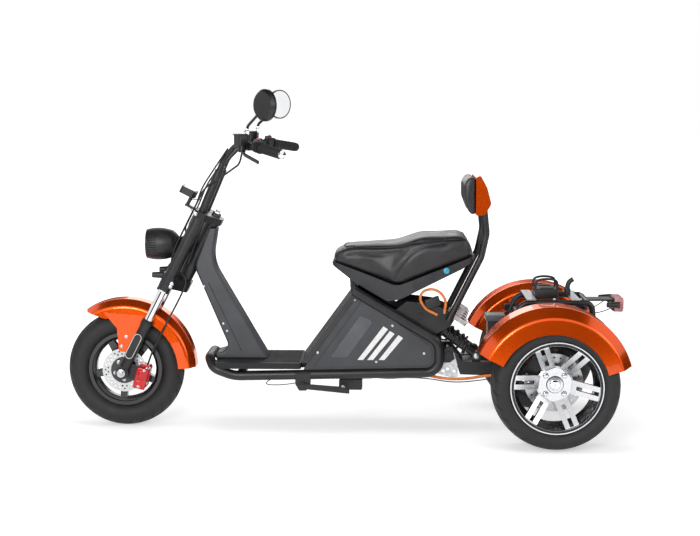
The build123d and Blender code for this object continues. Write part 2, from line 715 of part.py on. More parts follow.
with BuildPart() as mirror_glass:
    with BuildSketch(Plane(origin=mirror_face + mirror_way * MIRROR_SINK, z_dir=mirror_way)):
        Circle(MIRROR_R - MIRROR_RIM - REST_GAP)
    extrude(amount=-MIRROR_SINK + 0.5)
save_pair(mirror_glass.part, "mirror_glass")

# Small display on a stalk in front of the risers
DISPLAY_LOW = 690.0
DISPLAY_HIGH = 716.0
with BuildPart() as display:
    with BuildSketch(fork_plane.offset(DISPLAY_LOW)):
        with Locations((85, 0)):
            RectangleRounded(60, 74, 12)
    extrude(amount=DISPLAY_HIGH - DISPLAY_LOW)
    with BuildSketch(fork_plane.offset(UPPER_CROWN_LOW + 8)):
        with Locations((50, 0)):
            Rectangle(52, 24)
    extrude(amount=8)
    with BuildSketch(fork_plane.offset(UPPER_CROWN_LOW + 10)):
        with Locations((68, 0)):
            Circle(7)
    extrude(amount=DISPLAY_LOW - UPPER_CROWN_LOW - 10)
save(display.part, "display")

# Frame loop: one tube from the left stay, down round the rear, along the floor, across the nose
# and back the same way on the right, cut where its lengths are welded
NOSE_X = 494.0
NOSE_Z = 272.0
STAY_TOP_X = -42.0
STAY_SLOPE = 31.0
LOOP_REAR_X = -356.0
LOOP_HIGH_Z = 340.0
RAIL_CUT_X = -250.0
stay_top_z = LOOP_HIGH_Z + (STAY_TOP_X - LOOP_REAR_X) * math.tan(math.radians(STAY_SLOPE))
half_loop = (
    (STAY_TOP_X, RAIL_Y, stay_top_z),
    (LOOP_REAR_X, RAIL_Y, LOOP_HIGH_Z),
    (LOOP_REAR_X, RAIL_Y, RAIL_REAR_Z),
    (NOSE_X - 94, RAIL_Y, RAIL_FRONT_Z),
    (NOSE_X - 20, RAIL_Y, RAIL_FRONT_Z + 28),
    (NOSE_X, RAIL_Y * 0.66, NOSE_Z),
)
loop_points = list(half_loop) + [(x, -y, z) for x, y, z in reversed(half_loop)]
with BuildPart() as frame_loop:
    with BuildLine() as loop_path:
        FilletPolyline(*loop_points, radius=(60, 50, 140, 40, 46, 46, 40, 140, 50, 60))
    with BuildSketch(Plane(origin=loop_path.line @ 0, z_dir=loop_path.line % 0)):
        Circle(RAIL_R)
    sweep(path=loop_path.wires()[0])

with BuildPart() as frame_rails:
    add(frame_loop.part)
    split(bisect_by=Plane.YZ.offset(RAIL_CUT_X), keep=Keep.TOP)
    split(bisect_by=Plane.XY.offset(LOOP_HIGH_Z), keep=Keep.BOTTOM)
rails_piece = frame_rails.part.solids().sort_by(SortBy.VOLUME)[-1]
with BuildPart() as frame_stays:
    add(frame_loop.part)
    add(rails_piece, mode=Mode.SUBTRACT)
save(frame_stays.part, "frame_stays")

# Steering head and the bent tube that joins it to the floor
head_low = LOWER_CROWN_HIGH + REST_GAP
head_high = UPPER_CROWN_LOW - REST_GAP
NECK_TUBE_R = 20.0
neck_foot = Vector(378, 0, RAIL_FRONT_Z + RAIL_R)
neck_top = fork_point(-STEM_OFFSET, 0, (head_low + head_high) / 2 + 20)
with BuildPart() as steering_head:
    with BuildSketch(fork_plane.offset(head_low)):
        with Locations((-STEM_OFFSET, 0)):
            Circle(HEAD_TUBE_R)
    extrude(amount=head_high - head_low)
    with BuildLine() as neck_path:
        FilletPolyline(neck_foot, Vector(398, 0, 371), Vector(480, 0, 512), neck_top, radius=120)
    with BuildSketch(Plane(origin=neck_foot, z_dir=neck_path.line % 0)):
        Circle(NECK_TUBE_R)
    sweep(path=neck_path.wires()[0])
    with BuildSketch(fork_plane.offset(head_low)):
        with Locations((-STEM_OFFSET, 0)):
            Circle(STEM_R + SHAFT_GAP)
    extrude(amount=head_high - head_low, mode=Mode.SUBTRACT)
save(steering_head.part, "steering_head")

# Column cover: a slim moulded shell over the neck tube, wider where it stands on the floor
COVER_FOOT_X = 475.0
cover_top = fork_point(-58, 0, UPPER_CROWN_LOW - 14)
cover_chest = fork_point(-60, 0, LOWER_CROWN_HIGH + 61)
cover_waist = fork_point(-110, 0, LOWER_CROWN_HIGH + 109)
with BuildPart() as column_cover:
    with BuildSketch(side_plane(COLUMN_HALF_W + 8)):
        with BuildLine():
            FilletPolyline(
                (280, DECK_Z),
                (cover_waist.X, cover_waist.Z),
                (cover_top.X - 15, cover_top.Z),
                (cover_top.X + 16, cover_top.Z),
                (cover_chest.X, cover_chest.Z),
                (419, 297),
                (COVER_FOOT_X, 284),
                (COVER_FOOT_X, DECK_Z),
                radius=(4, 140, 8, 8, 70, 28, 12, 4),
                close=True,
            )
        make_face()
    extrude(amount=2 * (COLUMN_HALF_W + 8))
    with BuildSketch(Plane.YZ):
        with BuildLine():
            Polyline(
                (-COLUMN_HALF_W, DECK_Z),
                (COLUMN_HALF_W, DECK_Z),
                (NECK_HALF_W, cover_top.Z),
                (-NECK_HALF_W, cover_top.Z),
                close=True,
            )
        make_face()
    extrude(amount=OVERALL_LENGTH / 2, mode=Mode.INTERSECT)
    rounded = column_cover.faces().sort_by(Axis.Y)
    fillet(rounded[0].edges() + rounded[-1].edges(), radius=COVER_ROUND)
    add(steering_head.part, mode=Mode.SUBTRACT)
    add(frame_loop.part, mode=Mode.SUBTRACT)
save(column_cover.part.solids().sort_by(SortBy.VOLUME)[-1], "column_cover")

# Cross bars join the two sides of the frame
PIVOT_X = -392.0
PIVOT_Z = 291.0
SHOCK_TOP_X = -285.0
SHOCK_TOP_Z = 436.0
REST_FOOT_X = -388.0
REST_FOOT_Z = 418.0
CROSS_BARS = (
    # x, z, radius
    (378, RAIL_FRONT_Z, 16),
    (60, RAIL_FRONT_Z + 9, 14),
    (-290, RAIL_REAR_Z - 2, 12),
    (PIVOT_X, PIVOT_Z, 12),
    (SHOCK_TOP_X, SHOCK_TOP_Z, 9),
    (REST_FOOT_X, REST_FOOT_Z, 11),
)
cross_half = RAIL_Y - RAIL_R
with BuildPart() as cross_bars:
    for x, z, radius in CROSS_BARS:
        with BuildSketch(side_plane(cross_half + 6)):
            with Locations((x, z)):
                Circle(radius)
        extrude(amount=2 * (cross_half + 6))
    add(frame_loop.part, mode=Mode.SUBTRACT)
    add(steering_head.part, mode=Mode.SUBTRACT)

# Gussets: plates welded to the bars, inside the stays, for the pivot, the shocks and the backrest
with BuildPart() as frame_gussets:
    for sign in (1, -1):
        with BuildSketch(side_plane(cross_half if sign > 0 else -cross_half + PLATE_T)):
            with BuildLine():
                Polyline(
                    (-185, 448),
                    (-235, 488),
                    (-330, 476),
                    (-398, 450),
                    (-410, 420),
                    (-398, 398),
                    (-330, 360),
                    (-250, 404),
                    close=True,
                )
            make_face()
            with BuildLine():
                Polyline((-346, 262), (-346, 318), (-404, 312), (-414, 276), (-396, 262), close=True)
            make_face()
        extrude(amount=PLATE_T)
    add(cross_bars.part)
    add(frame_loop.part, mode=Mode.SUBTRACT)
save(frame_gussets.part, "cross_bars")

# Floor board on the rails and cross bars, narrower where it runs on between the side panels
BOARD_T = 22.0
BOARD_HALF_W = 138.0
BOARD_FRONT_X = 470.0
BOARD_STEP_X = 152.0
BOARD_REAR_X = -330.0
BOX_HALF_W = 103.0
with BuildPart() as floor_board:
    with BuildSketch(Plane.XY.offset(DECK_Z - BOARD_T)):
        with Locations(((BOARD_FRONT_X + BOARD_STEP_X) / 2, 0)):
            RectangleRounded(BOARD_FRONT_X - BOARD_STEP_X, 2 * BOARD_HALF_W, 12)
        with Locations(((BOARD_STEP_X + 30 + BOARD_REAR_X) / 2, 0)):
            Rectangle(BOARD_STEP_X + 30 - BOARD_REAR_X, 2 * BOX_HALF_W)
    extrude(amount=BOARD_T)
    add(frame_loop.part, mode=Mode.SUBTRACT)
    add(frame_gussets.part, mode=Mode.SUBTRACT)
    add(steering_head.part, mode=Mode.SUBTRACT)
save(floor_board.part.solids().sort_by(SortBy.VOLUME)[-1], "floor_board")

# Seat box: a hollow wedge between the stays, open under the seat, with the battery inside
HINGE_X = -36.0
HINGE_Z = 540.0
HINGE_PIN_R = 4.0
HINGE_LUG_R = 9.0
HINGE_LUGS_Y = 60.0
SLOPE_FOOT = (150.0, DECK_Z)
SLOPE_TOP = (-49.0, 536.0)
FRONT_COVER_HALF_W = 134.0
FRONT_COVER_T = 6.0
FRONT_COVER_RETURN = 18.0
FRONT_COVER_RETURN_T = 7.0
slope_run = Vector(SLOPE_TOP[0] - SLOPE_FOOT[0], SLOPE_TOP[1] - SLOPE_FOOT[1]).normalized()


def slope_band(outer, inner):
    """The corners of a band along the seat box's front slope, between two depths behind its face."""
    corners = []
    for depth, ends in ((outer, (SLOPE_FOOT, SLOPE_TOP)), (inner, (SLOPE_TOP, SLOPE_FOOT))):
        for x, z in ends:
            foot = (z - DECK_Z) / slope_run.Y * slope_run.X if z > DECK_Z else 0.0
            corners.append((SLOPE_FOOT[0] + foot - depth / slope_run.Y, z))
    return corners


with BuildPart() as seat_box:
    with BuildSketch(side_plane(BOX_HALF_W)):
        with BuildLine():
            Polyline((146, DECK_Z), (-40, 514), (-62, 506), (-332, 344), (-332, DECK_Z), close=True)
        make_face()
    extrude(amount=2 * BOX_HALF_W)
    lid_face = seat_box.faces().filter_by(lambda face: face.normal_at().Z > 0.7).sort_by(Axis.X)
    offset(amount=-BOX_WALL, openings=[lid_face[0], lid_face[1]])
    with BuildSketch(side_plane(FRONT_COVER_HALF_W)):
        with BuildLine():
            Polyline(*slope_band(0, FRONT_COVER_T), close=True)
        make_face()
    extrude(amount=2 * FRONT_COVER_HALF_W)
    for y in (FRONT_COVER_HALF_W, FRONT_COVER_RETURN_T - FRONT_COVER_HALF_W):
        with BuildSketch(side_plane(y)):
            with BuildLine():
                Polyline(*slope_band(0, FRONT_COVER_RETURN), close=True)
            make_face()
        extrude(amount=FRONT_COVER_RETURN_T)
    for y in (HINGE_LUGS_Y, -HINGE_LUGS_Y + 10):
        with BuildSketch(side_plane(y)):
            with BuildLine():
                Polyline(
                    (HINGE_X - 8, HINGE_Z),
                    (HINGE_X + 8, HINGE_Z),
                    (-30, 496),
                    (-46, 496),
                    close=True,
                )
            make_face()
            with Locations((HINGE_X, HINGE_Z)):
                Circle(HINGE_LUG_R)
        extrude(amount=10)
        with BuildSketch(side_plane(y + 1)):
            with Locations((HINGE_X, HINGE_Z)):
                Circle(HINGE_PIN_R)
        extrude(amount=12, mode=Mode.SUBTRACT)
    add(frame_loop.part, mode=Mode.SUBTRACT)
save(seat_box.part.solids().sort_by(SortBy.VOLUME)[-1], "seat_box")

with BuildPart() as battery:
    with BuildSketch(Plane.XY.offset(DECK_Z + BOX_WALL)):
        with Locations((-130, 0)):
            RectangleRounded(290, 180, 10)
    extrude(amount=104)
save(battery.part, "battery")

# Side panels fill the frame loop, each with a raised field, a lighter bar and three white stripes
PANEL_FACE_Y = RAIL_Y + 1.0
FIELD_INSET = 28.0
FIELD_RAISE = 5.0
BAR_RAISE = 3.0
panel_front_x = SLOPE_FOOT[0] - FRONT_COVER_RETURN / slope_run.Y - REST_GAP
panel_top_x = SLOPE_TOP[0] - FRONT_COVER_RETURN / slope_run.Y - REST_GAP
STRIPES = (
    # bottom front x, top front x, top height
    (-56, -151, 400),
    (-92, -175, 383),
    (-134, -206, 368),
)
STRIPE_W = 21.0
STRIPE_FOOT_Z = 275.0
stripe_y = PANEL_FACE_Y + FIELD_RAISE + STRIPE_T
with BuildPart() as side_panel:
    with BuildSketch(side_plane(PANEL_FACE_Y)) as panel_face:
        with BuildLine():
            FilletPolyline(
                (panel_front_x, DECK_Z),
                (panel_top_x, SLOPE_TOP[1]),
                (LOOP_REAR_X, LOOP_HIGH_Z),
                (LOOP_REAR_X, RAIL_REAR_Z),
                (panel_front_x + 26, RAIL_FRONT_Z + 6),
                radius=(2, 2, 60, 50, 2),
                close=True,
            )
        make_face()
    extrude(amount=PANEL_T)
    with BuildSketch(side_plane(PANEL_FACE_Y + FIELD_RAISE)):
        offset(panel_face.sketch_local.face(), amount=-FIELD_INSET)
    extrude(amount=FIELD_RAISE)
    with BuildSketch(side_plane(PANEL_FACE_Y + FIELD_RAISE + BAR_RAISE)):
        with BuildLine():
            FilletPolyline(
                (-66, 440),
                (-116, 420),
                (-18, 284),
                (44, 284),
                radius=(4, 14, 20, 4),
                close=True,
            )
        make_face()
    extrude(amount=BAR_RAISE)
    add(frame_loop.part, mode=Mode.SUBTRACT)
side_panel_piece = side_panel.part.solids().sort_by(SortBy.VOLUME)[-1]
save_pair(side_panel_piece, "side_panels")

with BuildPart() as stripes:
    for foot_x, top_x, top_z in STRIPES:
        with BuildSketch(side_plane(stripe_y)):
            with BuildLine():
                Polyline(
                    (foot_x, STRIPE_FOOT_Z),
                    (top_x, top_z),
                    (top_x - STRIPE_W * 0.8, top_z - 11),
                    (foot_x - STRIPE_W, STRIPE_FOOT_Z),
                    close=True,
                )
            make_face()
        extrude(amount=STRIPE_T)
save_pair(stripes.part, "panel_stripes")

# Seat: a padded saddle on a moulded pan that lifts about a hinge under its nose
with BuildPart() as seat_cushion:
    with BuildSketch(side_plane(SEAT_HALF_W)):
        with BuildLine():
            FilletPolyline(
                (40, 634),
                (44, 668),
                (-8, 686),
                (-200, 698),
                (-290, 726),
                (-462, 732),
                (-489, 664),
                (-200, 548),
                radius=(8, 20, 60, 120, 120, 30, 10, 60),
                close=True,
            )
        make_face()
    extrude(amount=2 * SEAT_HALF_W)
    with BuildSketch(Plane.XY.offset(500)):
        with BuildLine():
            FilletPolyline(
                (48, -SEAT_NOSE_HALF_W * 0.8),
                (48, SEAT_NOSE_HALF_W * 0.8),
                (-60, SEAT_NOSE_HALF_W),
                (-250, SEAT_HALF_W),
                (-470, SEAT_HALF_W),
                (-492, SEAT_HALF_W * 0.5),
                (-492, -SEAT_HALF_W * 0.5),
                (-470, -SEAT_HALF_W),
                (-250, -SEAT_HALF_W),
                (-60, -SEAT_NOSE_HALF_W),
                radius=(40, 40, 60, 80, 30, 30, 30, 30, 80, 60),
                close=True,
            )
        make_face()
    extrude(amount=300, mode=Mode.INTERSECT)
save(seat_cushion.part, "seat_cushion")

with BuildPart() as seat_pan:
    with BuildSketch(side_plane(SEAT_HALF_W)):
        with BuildLine():
            FilletPolyline(
                (40, 634),
                (-200, 548),
                (-489, 664),
                (-474, 640),
                (-437, 614),
                (-210, 500),
                (-166, 491),
                (-48, 555),
                (36, 618),
                radius=(4, 60, 4, 6, 20, 20, 20, 20, 6),
                close=True,
            )
        make_face()
    extrude(amount=2 * SEAT_HALF_W)
    with BuildSketch(Plane.XY.offset(480)):
        with BuildLine():
            FilletPolyline(
                (40, -SEAT_NOSE_HALF_W * 0.76),
                (40, SEAT_NOSE_HALF_W * 0.76),
                (-60, SEAT_NOSE_HALF_W - 4),
                (-250, SEAT_HALF_W - 4),
                (-470, SEAT_HALF_W - 4),
                (-486, SEAT_HALF_W * 0.5),
                (-486, -SEAT_HALF_W * 0.5),
                (-470, 4 - SEAT_HALF_W),
                (-250, 4 - SEAT_HALF_W),
                (-60, 4 - SEAT_NOSE_HALF_W),
                radius=(36, 36, 60, 80, 30, 30, 30, 30, 80, 60),
                close=True,
            )
        make_face()
    extrude(amount=300, mode=Mode.INTERSECT)
    add(seat_cushion.part, mode=Mode.SUBTRACT)
    for y in (HINGE_LUGS_Y - 10 - REST_GAP, -HINGE_LUGS_Y + 18 + REST_GAP):
        with BuildSketch(side_plane(y)):
            with BuildLine():
                Polyline(
                    (HINGE_X - 8, HINGE_Z),
                    (HINGE_X + 8, HINGE_Z),
                    (HINGE_X + 12, HINGE_Z + 34),
                    (HINGE_X - 12, HINGE_Z + 30),
                    close=True,
                )
            make_face()
            with Locations((HINGE_X, HINGE_Z)):
                Circle(HINGE_LUG_R)
        extrude(amount=8)
    with BuildSketch(side_plane(HINGE_LUGS_Y + 4)):
        with Locations((HINGE_X, HINGE_Z)):
            Circle(HINGE_PIN_R - SHAFT_GAP)
    extrude(amount=2 * HINGE_LUGS_Y + 8)
save(seat_pan.part, "seat_pan")

# Backrest: a bent hoop from the gussets, a pad in front and a painted shell behind
BACKREST_R = 12.0
BACKREST_Y = RAIL_Y - RAIL_R + BACKREST_R
BACKREST_HALF_W = 134.0
hoop_half = (
    (REST_FOOT_X, BACKREST_Y, REST_FOOT_Z),
    (-506, BACKREST_Y, 655),
    (-524, BACKREST_Y, 740),
    (-508, BACKREST_Y, 892),
)
hoop_points = list(hoop_half) + [(x, -y, z) for x, y, z in reversed(hoop_half)]
with BuildPart() as backrest_frame:
    with BuildLine() as hoop_path:
        FilletPolyline(*hoop_points, radius=(80, 80, 40, 40, 80, 80))
    with BuildSketch(Plane(origin=hoop_path.line @ 0, z_dir=hoop_path.line % 0)):
        Circle(BACKREST_R)
    sweep(path=hoop_path.wires()[0])
    add(cross_bars.part, mode=Mode.SUBTRACT)
save(backrest_frame.part, "backrest_frame")

with BuildPart() as backrest_shell:
    with BuildSketch(side_plane(BACKREST_HALF_W)):
        with BuildLine():
            FilletPolyline(
                (-484, 806),
                (-516, 808),
                (-540, 848),
                (-524, 908),
                (-500, 952),
                (-484, 944),
                radius=(6, 10, 20, 20, 8, 6),
                close=True,
            )
        make_face()
    extrude(amount=2 * BACKREST_HALF_W)
    add(backrest_frame.part, mode=Mode.SUBTRACT)
save(backrest_shell.part.solids().sort_by(SortBy.VOLUME)[-1], "backrest_shell")

with BuildPart() as backrest_pad:
    with BuildSketch(side_plane(BACKREST_HALF_W - 4)):
        with BuildLine():
            FilletPolyline(
                (-484 + REST_GAP, 808),
                (-466, 808),
                (-444, 866),
                (-444, 924),
                (-462, 947),
                (-484 + REST_GAP, 944),
                radius=(4, 12, 24, 20, 12, 4),
                close=True,
            )
        make_face()
    extrude(amount=2 * (BACKREST_HALF_W - 4))
save(backrest_pad.part, "backrest_pad")

# Rear axle: a motor drum and tube with a bearing flange and a stub shaft at each end
FLANGE_R = 46.0
TUBE_END_Y = rear_disc_y - 28
STUB_END_Y = hub_face_y - 4 - 3
with BuildPart() as axle_housing:
    for reach, radius in ((STUB_END_Y, STUB_R), (TUBE_END_Y, AXLE_TUBE_R)):
        with BuildSketch(side_plane(reach)):
            with Locations((REAR_AXLE_X, REAR_TYRE_R)):
                Circle(radius)
        extrude(amount=2 * reach)
    for sign in (1, -1):
        with BuildSketch(side_plane(sign * TUBE_END_Y + 5)):
            with Locations((REAR_AXLE_X, REAR_TYRE_R)):
                Circle(FLANGE_R)
        extrude(amount=10)
    with BuildSketch(side_plane(62)):
        with Locations((REAR_AXLE_X, REAR_TYRE_R)):
            Circle(DRIVE_R)
    extrude(amount=124)
    fillet(axle_housing.edges().filter_by(GeomType.CIRCLE).group_by(SortBy.RADIUS)[-1], radius=14)
save(axle_housing.part, "axle_housing")

# Swing arm: two box beams from the frame pivot to the axle, joined by two cross beams
ARM_Y = 78.0
ARM_W = 38.0
with BuildPart() as swing_arm:
    for y in (ARM_Y, -ARM_Y):
        with BuildSketch(side_plane(y + ARM_W / 2)):
            with BuildLine():
                Polyline(
                    (-368, 312),
                    (-404, 312),
                    (-442, 264),
                    (-752, 258),
                    (-752, 206),
                    (-434, 216),
                    (-416, 268),
                    (-368, 268),
                    close=True,
                )
            make_face()
        extrude(amount=ARM_W)
    for x in (-470, -566):
        with BuildSketch(Plane.XY.offset(222)):
            with Locations((x, 0)):
                Rectangle(46, 2 * ARM_Y)
        extrude(amount=38)
    add(cross_bars.part, mode=Mode.SUBTRACT)
    add(axle_housing.part, mode=Mode.SUBTRACT)
save(swing_arm.part, "swing_arm")

# Silver brackets between the swing arm and the frame's gussets
BRACKET_T = 3.7
with BuildPart() as arm_bracket:
    with BuildSketch(side_plane(ARM_Y + ARM_W / 2 + BRACKET_T)):
        with BuildLine():
            FilletPolyline(
                (-376, 300),
                (-410, 300),
                (-423, 256),
                (-427, 207),
                (-398, 206),
                (-351, 219),
                (-351, 238),
                (-374, 258),
                radius=(5, 5, 6, 6, 6, 6, 6, 6),
                close=True,
            )
        make_face()
        with Locations((-388, 236), (-412, 228), (-372, 229)):
            Circle(6, mode=Mode.SUBTRACT)
    extrude(amount=BRACKET_T)
    add(cross_bars.part, mode=Mode.SUBTRACT)
save_pair(arm_bracket.part, "arm_bracket")

# Shock absorbers: an eye, a damper and a rod, with a ribbed sleeve in the place of each coil
SHOCK_Y = 74.0
SHOCK_FOOT_X = -494.0
SHOCK_FOOT_Z = 284.0
COIL_R = 24.0
COILS = 7
COIL_WIRE_R = 4.0
damper_r = COIL_R - 2 * COIL_WIRE_R - REST_GAP
shock_top = Vector(SHOCK_TOP_X, 0, SHOCK_TOP_Z)
shock_foot = Vector(SHOCK_FOOT_X, 0, SHOCK_FOOT_Z)
shock_way = (shock_foot - shock_top).normalized()
shock_length = (shock_foot - shock_top).length
with BuildPart() as shock_dampers:
    for y in (SHOCK_Y, -SHOCK_Y):
        for start, length, radius in ((0, 214, damper_r), (0, 226, 9), (shock_length - 60, 60, 13)):
            with BuildSketch(Plane(origin=shock_top + Vector(0, y, 0) + shock_way * start, z_dir=shock_way)):
                Circle(radius)
            extrude(amount=length)
        with BuildSketch(side_plane(y + 13)):
            with Locations((SHOCK_TOP_X, SHOCK_TOP_Z), (SHOCK_FOOT_X, SHOCK_FOOT_Z)):
                Circle(17)
        extrude(amount=26)
        with BuildSketch(side_plane(y + 10)):
            with Locations((SHOCK_FOOT_X, SHOCK_FOOT_Z - 22)):
                Rectangle(30, 30)
        extrude(amount=20)
    add(cross_bars.part, mode=Mode.SUBTRACT)
    add(swing_arm.part, mode=Mode.SUBTRACT)
save(shock_dampers.part, "shock_dampers")

coil_start = 36.0
coil_length = shock_length - 80.0
coil_pitch = coil_length / COILS
with BuildPart() as shock_springs:
    for y in (SHOCK_Y, -SHOCK_Y):
        base = Plane(
            origin=shock_top + Vector(0, y, 0) + shock_way * coil_start,
            x_dir=(0, 1, 0),
            z_dir=shock_way.cross(Vector(0, 1, 0)),
        )
        with BuildSketch(base):
            for coil in range(COILS):
                with Locations((0, -(coil + 0.5) * coil_pitch)):
                    with Locations((COIL_R - COIL_WIRE_R, 0)):
                        Circle(COIL_WIRE_R)
        revolve(axis=Axis(base.origin, shock_way))
save(shock_springs.part, "shock_springs")

# Rear fenders: wide flared arches over the wheels, with a deep outer skirt and a flat inner wall
REAR_FENDER_X = REAR_AXLE_X + 14.0
FENDER_IN_Y = REAR_WHEEL_Y - REAR_TYRE_W / 2 - FENDER_INNER_GAP
FENDER_SKIRT_R = REAR_TYRE_R - 33
REAR_FENDER_FRONT = 25.0
REAR_FENDER_REAR = 164.0
fender_out_y = OVERALL_WIDTH / 2 - FENDER_T / 2
with BuildPart() as rear_fender:
    with BuildSketch(arch_plane(REAR_FENDER_X, REAR_TYRE_R, REAR_FENDER_FRONT)):
        with BuildLine():
            FilletPolyline(
                (FENDER_IN_Y, REAR_TYRE_R - 21),
                (FENDER_IN_Y, REAR_TYRE_R + 29),
                (FENDER_IN_Y + 34, REAR_FENDER_R - 2),
                (fender_out_y - 48, REAR_FENDER_R - 2),
                (fender_out_y - 6, REAR_FENDER_R - 34),
                (fender_out_y, FENDER_SKIRT_R),
                radius=16,
            )
        trace(line_width=FENDER_T)
    revolve(
        axis=Axis((REAR_FENDER_X, 0, REAR_TYRE_R), (0, -1, 0)),
        revolution_arc=REAR_FENDER_REAR - REAR_FENDER_FRONT,
    )
save_both(rear_fender.part, "rear_fender")

# Carrier: two plates on the axle tube and two cross tubes that reach the fenders' inner walls
CARRIER_Y = 138.0
CARRIER_TUBE_R = 11.0
CARRIER_Z = REAR_TYRE_R + 209
CARRIER_FRONT_X = -650.0
CARRIER_REAR_X = -872.0
with BuildPart() as carrier_tubes:
    with BuildSketch(side_plane(FENDER_IN_Y - FENDER_T / 2)):
        with Locations((CARRIER_FRONT_X, CARRIER_Z), (CARRIER_REAR_X, CARRIER_Z)):
            Circle(CARRIER_TUBE_R)
    extrude(amount=2 * FENDER_IN_Y - FENDER_T)

with BuildPart() as carrier_plates:
    for y in (CARRIER_Y, -CARRIER_Y + PLATE_T):
        with BuildSketch(side_plane(y)):
            with BuildLine():
                FilletPolyline(
                    (CARRIER_FRONT_X + 18, CARRIER_Z + 6),
                    (CARRIER_REAR_X - 18, CARRIER_Z + 6),
                    (CARRIER_REAR_X - 18, CARRIER_Z - 20),
                    (REAR_AXLE_X - 44, REAR_TYRE_R),
                    (REAR_AXLE_X + 44, REAR_TYRE_R),
                    (CARRIER_FRONT_X + 18, CARRIER_Z - 20),
                    radius=9,
                    close=True,
                )
            make_face()
            with BuildLine():
                FilletPolyline(
                    (CARRIER_FRONT_X - 18, CARRIER_Z - 26),
                    (CARRIER_REAR_X + 18, CARRIER_Z - 26),
                    (REAR_AXLE_X - 10, REAR_TYRE_R + 62),
                    (REAR_AXLE_X + 18, REAR_TYRE_R + 62),
                    radius=9,
                    close=True,
                )
            make_face(mode=Mode.SUBTRACT)
        extrude(amount=PLATE_T)
    add(carrier_tubes.part)
    add(axle_housing.part, mode=Mode.SUBTRACT)
save(carrier_plates.part, "carrier")

# Luggage rack: two bent tubes over the carrier with two flat cross straps
RACK_Y = 110.0
RACK_R = 11.0
RACK_Z = CARRIER_Z + 50
RACK_FRONT_X = -628.0
RACK_REAR_X = -916.0
STRAP_T = 4.0
STRAP_W = 34.0
STRAP_FRONT_X = -690.0
STRAP_REAR_X = -850.0
STRAP_HOLE_Y = 90.0
STRAP_HOLE_R = 4.5
rack_points = (
    Vector(RACK_FRONT_X, RACK_Y, CARRIER_Z - 16),
    Vector(RACK_FRONT_X - 30, RACK_Y, RACK_Z),
    Vector(RACK_REAR_X + 6, RACK_Y, RACK_Z),
    Vector(RACK_REAR_X, RACK_Y, CARRIER_Z - 10),
)
with BuildPart() as luggage_rack:
    with BuildLine() as rack_path:
        FilletPolyline(*rack_points, radius=(46, 26))
    with BuildSketch(Plane(origin=rack_path.line @ 0, z_dir=rack_path.line % 0)):
        Circle(RACK_R)
    sweep(path=rack_path.wires()[0])
    for x, z in ((RACK_FRONT_X - 8, CARRIER_Z), (RACK_REAR_X + 20, CARRIER_Z)):
        with BuildSketch(side_plane(RACK_Y + 4)):
            with Locations((x, z)):
                RectangleRounded(52, 26, 6)
        extrude(amount=8)
    add(carrier_tubes.part, mode=Mode.SUBTRACT)
    mirror(about=Plane.XZ)


with BuildPart() as rack_straps:
    with BuildSketch(Plane.XY.offset(RACK_Z + RACK_R)):
        for x in (STRAP_FRONT_X, STRAP_REAR_X):
            with Locations((x, 0)):
                RectangleRounded(STRAP_W, 2 * (RACK_Y + 20), 5)
            with Locations((x, STRAP_HOLE_Y), (x, -STRAP_HOLE_Y)):
                Circle(STRAP_HOLE_R, mode=Mode.SUBTRACT)
    extrude(amount=STRAP_T)
save(rack_straps.part, "rack_straps")

# Tail: a cross tube and tongue behind the rack with the tail lamp and the rear indicators
TAIL_END_X = -OVERALL_LENGTH / 2
LAMP_DEPTH = 34.0
TAIL_LAMP_HALF_W = 58.0
TAIL_LAMP_LOW = RACK_Z - 42
TAIL_LAMP_HIGH = RACK_Z + 12
tail_plate_x = TAIL_END_X + LAMP_DEPTH
with BuildPart() as tail_bracket:
    with BuildSketch(side_plane(RACK_Y)):
        with Locations((RACK_REAR_X + 18, RACK_Z)):
            Circle(8)
    extrude(amount=2 * RACK_Y)
    with BuildSketch(Plane.XY.offset(RACK_Z - 3)):
        with Locations(((RACK_REAR_X + 18 + tail_plate_x) / 2, 0)):
            Rectangle(RACK_REAR_X + 18 - tail_plate_x, 76)
    extrude(amount=6)
    with BuildSketch(Plane.YZ.offset(tail_plate_x)):
        with Locations((0, (TAIL_LAMP_LOW + TAIL_LAMP_HIGH) / 2)):
            RectangleRounded(96, TAIL_LAMP_HIGH - TAIL_LAMP_LOW - 6, 6)
    extrude(amount=5)
    add(luggage_rack.part)
save(tail_bracket.part, "luggage_rack")

with BuildPart() as tail_lamp:
    with BuildSketch(Plane.YZ.offset(tail_plate_x)):
        with Locations((0, (TAIL_LAMP_LOW + TAIL_LAMP_HIGH) / 2)):
            RectangleRounded(2 * TAIL_LAMP_HALF_W, TAIL_LAMP_HIGH - TAIL_LAMP_LOW, 14)
    extrude(amount=-LAMP_DEPTH)
    fillet(tail_lamp.faces().sort_by(Axis.X)[0].edges(), radius=8)
save(tail_lamp.part, "tail_lamp")

REAR_INDICATOR_Y = 104.0
rear_indicator_x = tail_plate_x - 9.6
with BuildPart() as rear_indicators:
    for sign in (1, -1):
        with BuildSketch(Plane.YZ.offset(rear_indicator_x)):
            with Locations((sign * REAR_INDICATOR_Y, RACK_Z - 8)):
                Circle(INDICATOR_R)
        extrude(amount=INDICATOR_LENGTH + 6, taper=5)
    with BuildSketch(side_plane(REAR_INDICATOR_Y)):
        with Locations((tail_plate_x + 16, RACK_Z - 8)):
            Circle(5)
    extrude(amount=2 * REAR_INDICATOR_Y)
    add(tail_bracket.part, mode=Mode.SUBTRACT)
save(rear_indicators.part, "rear_indicators")

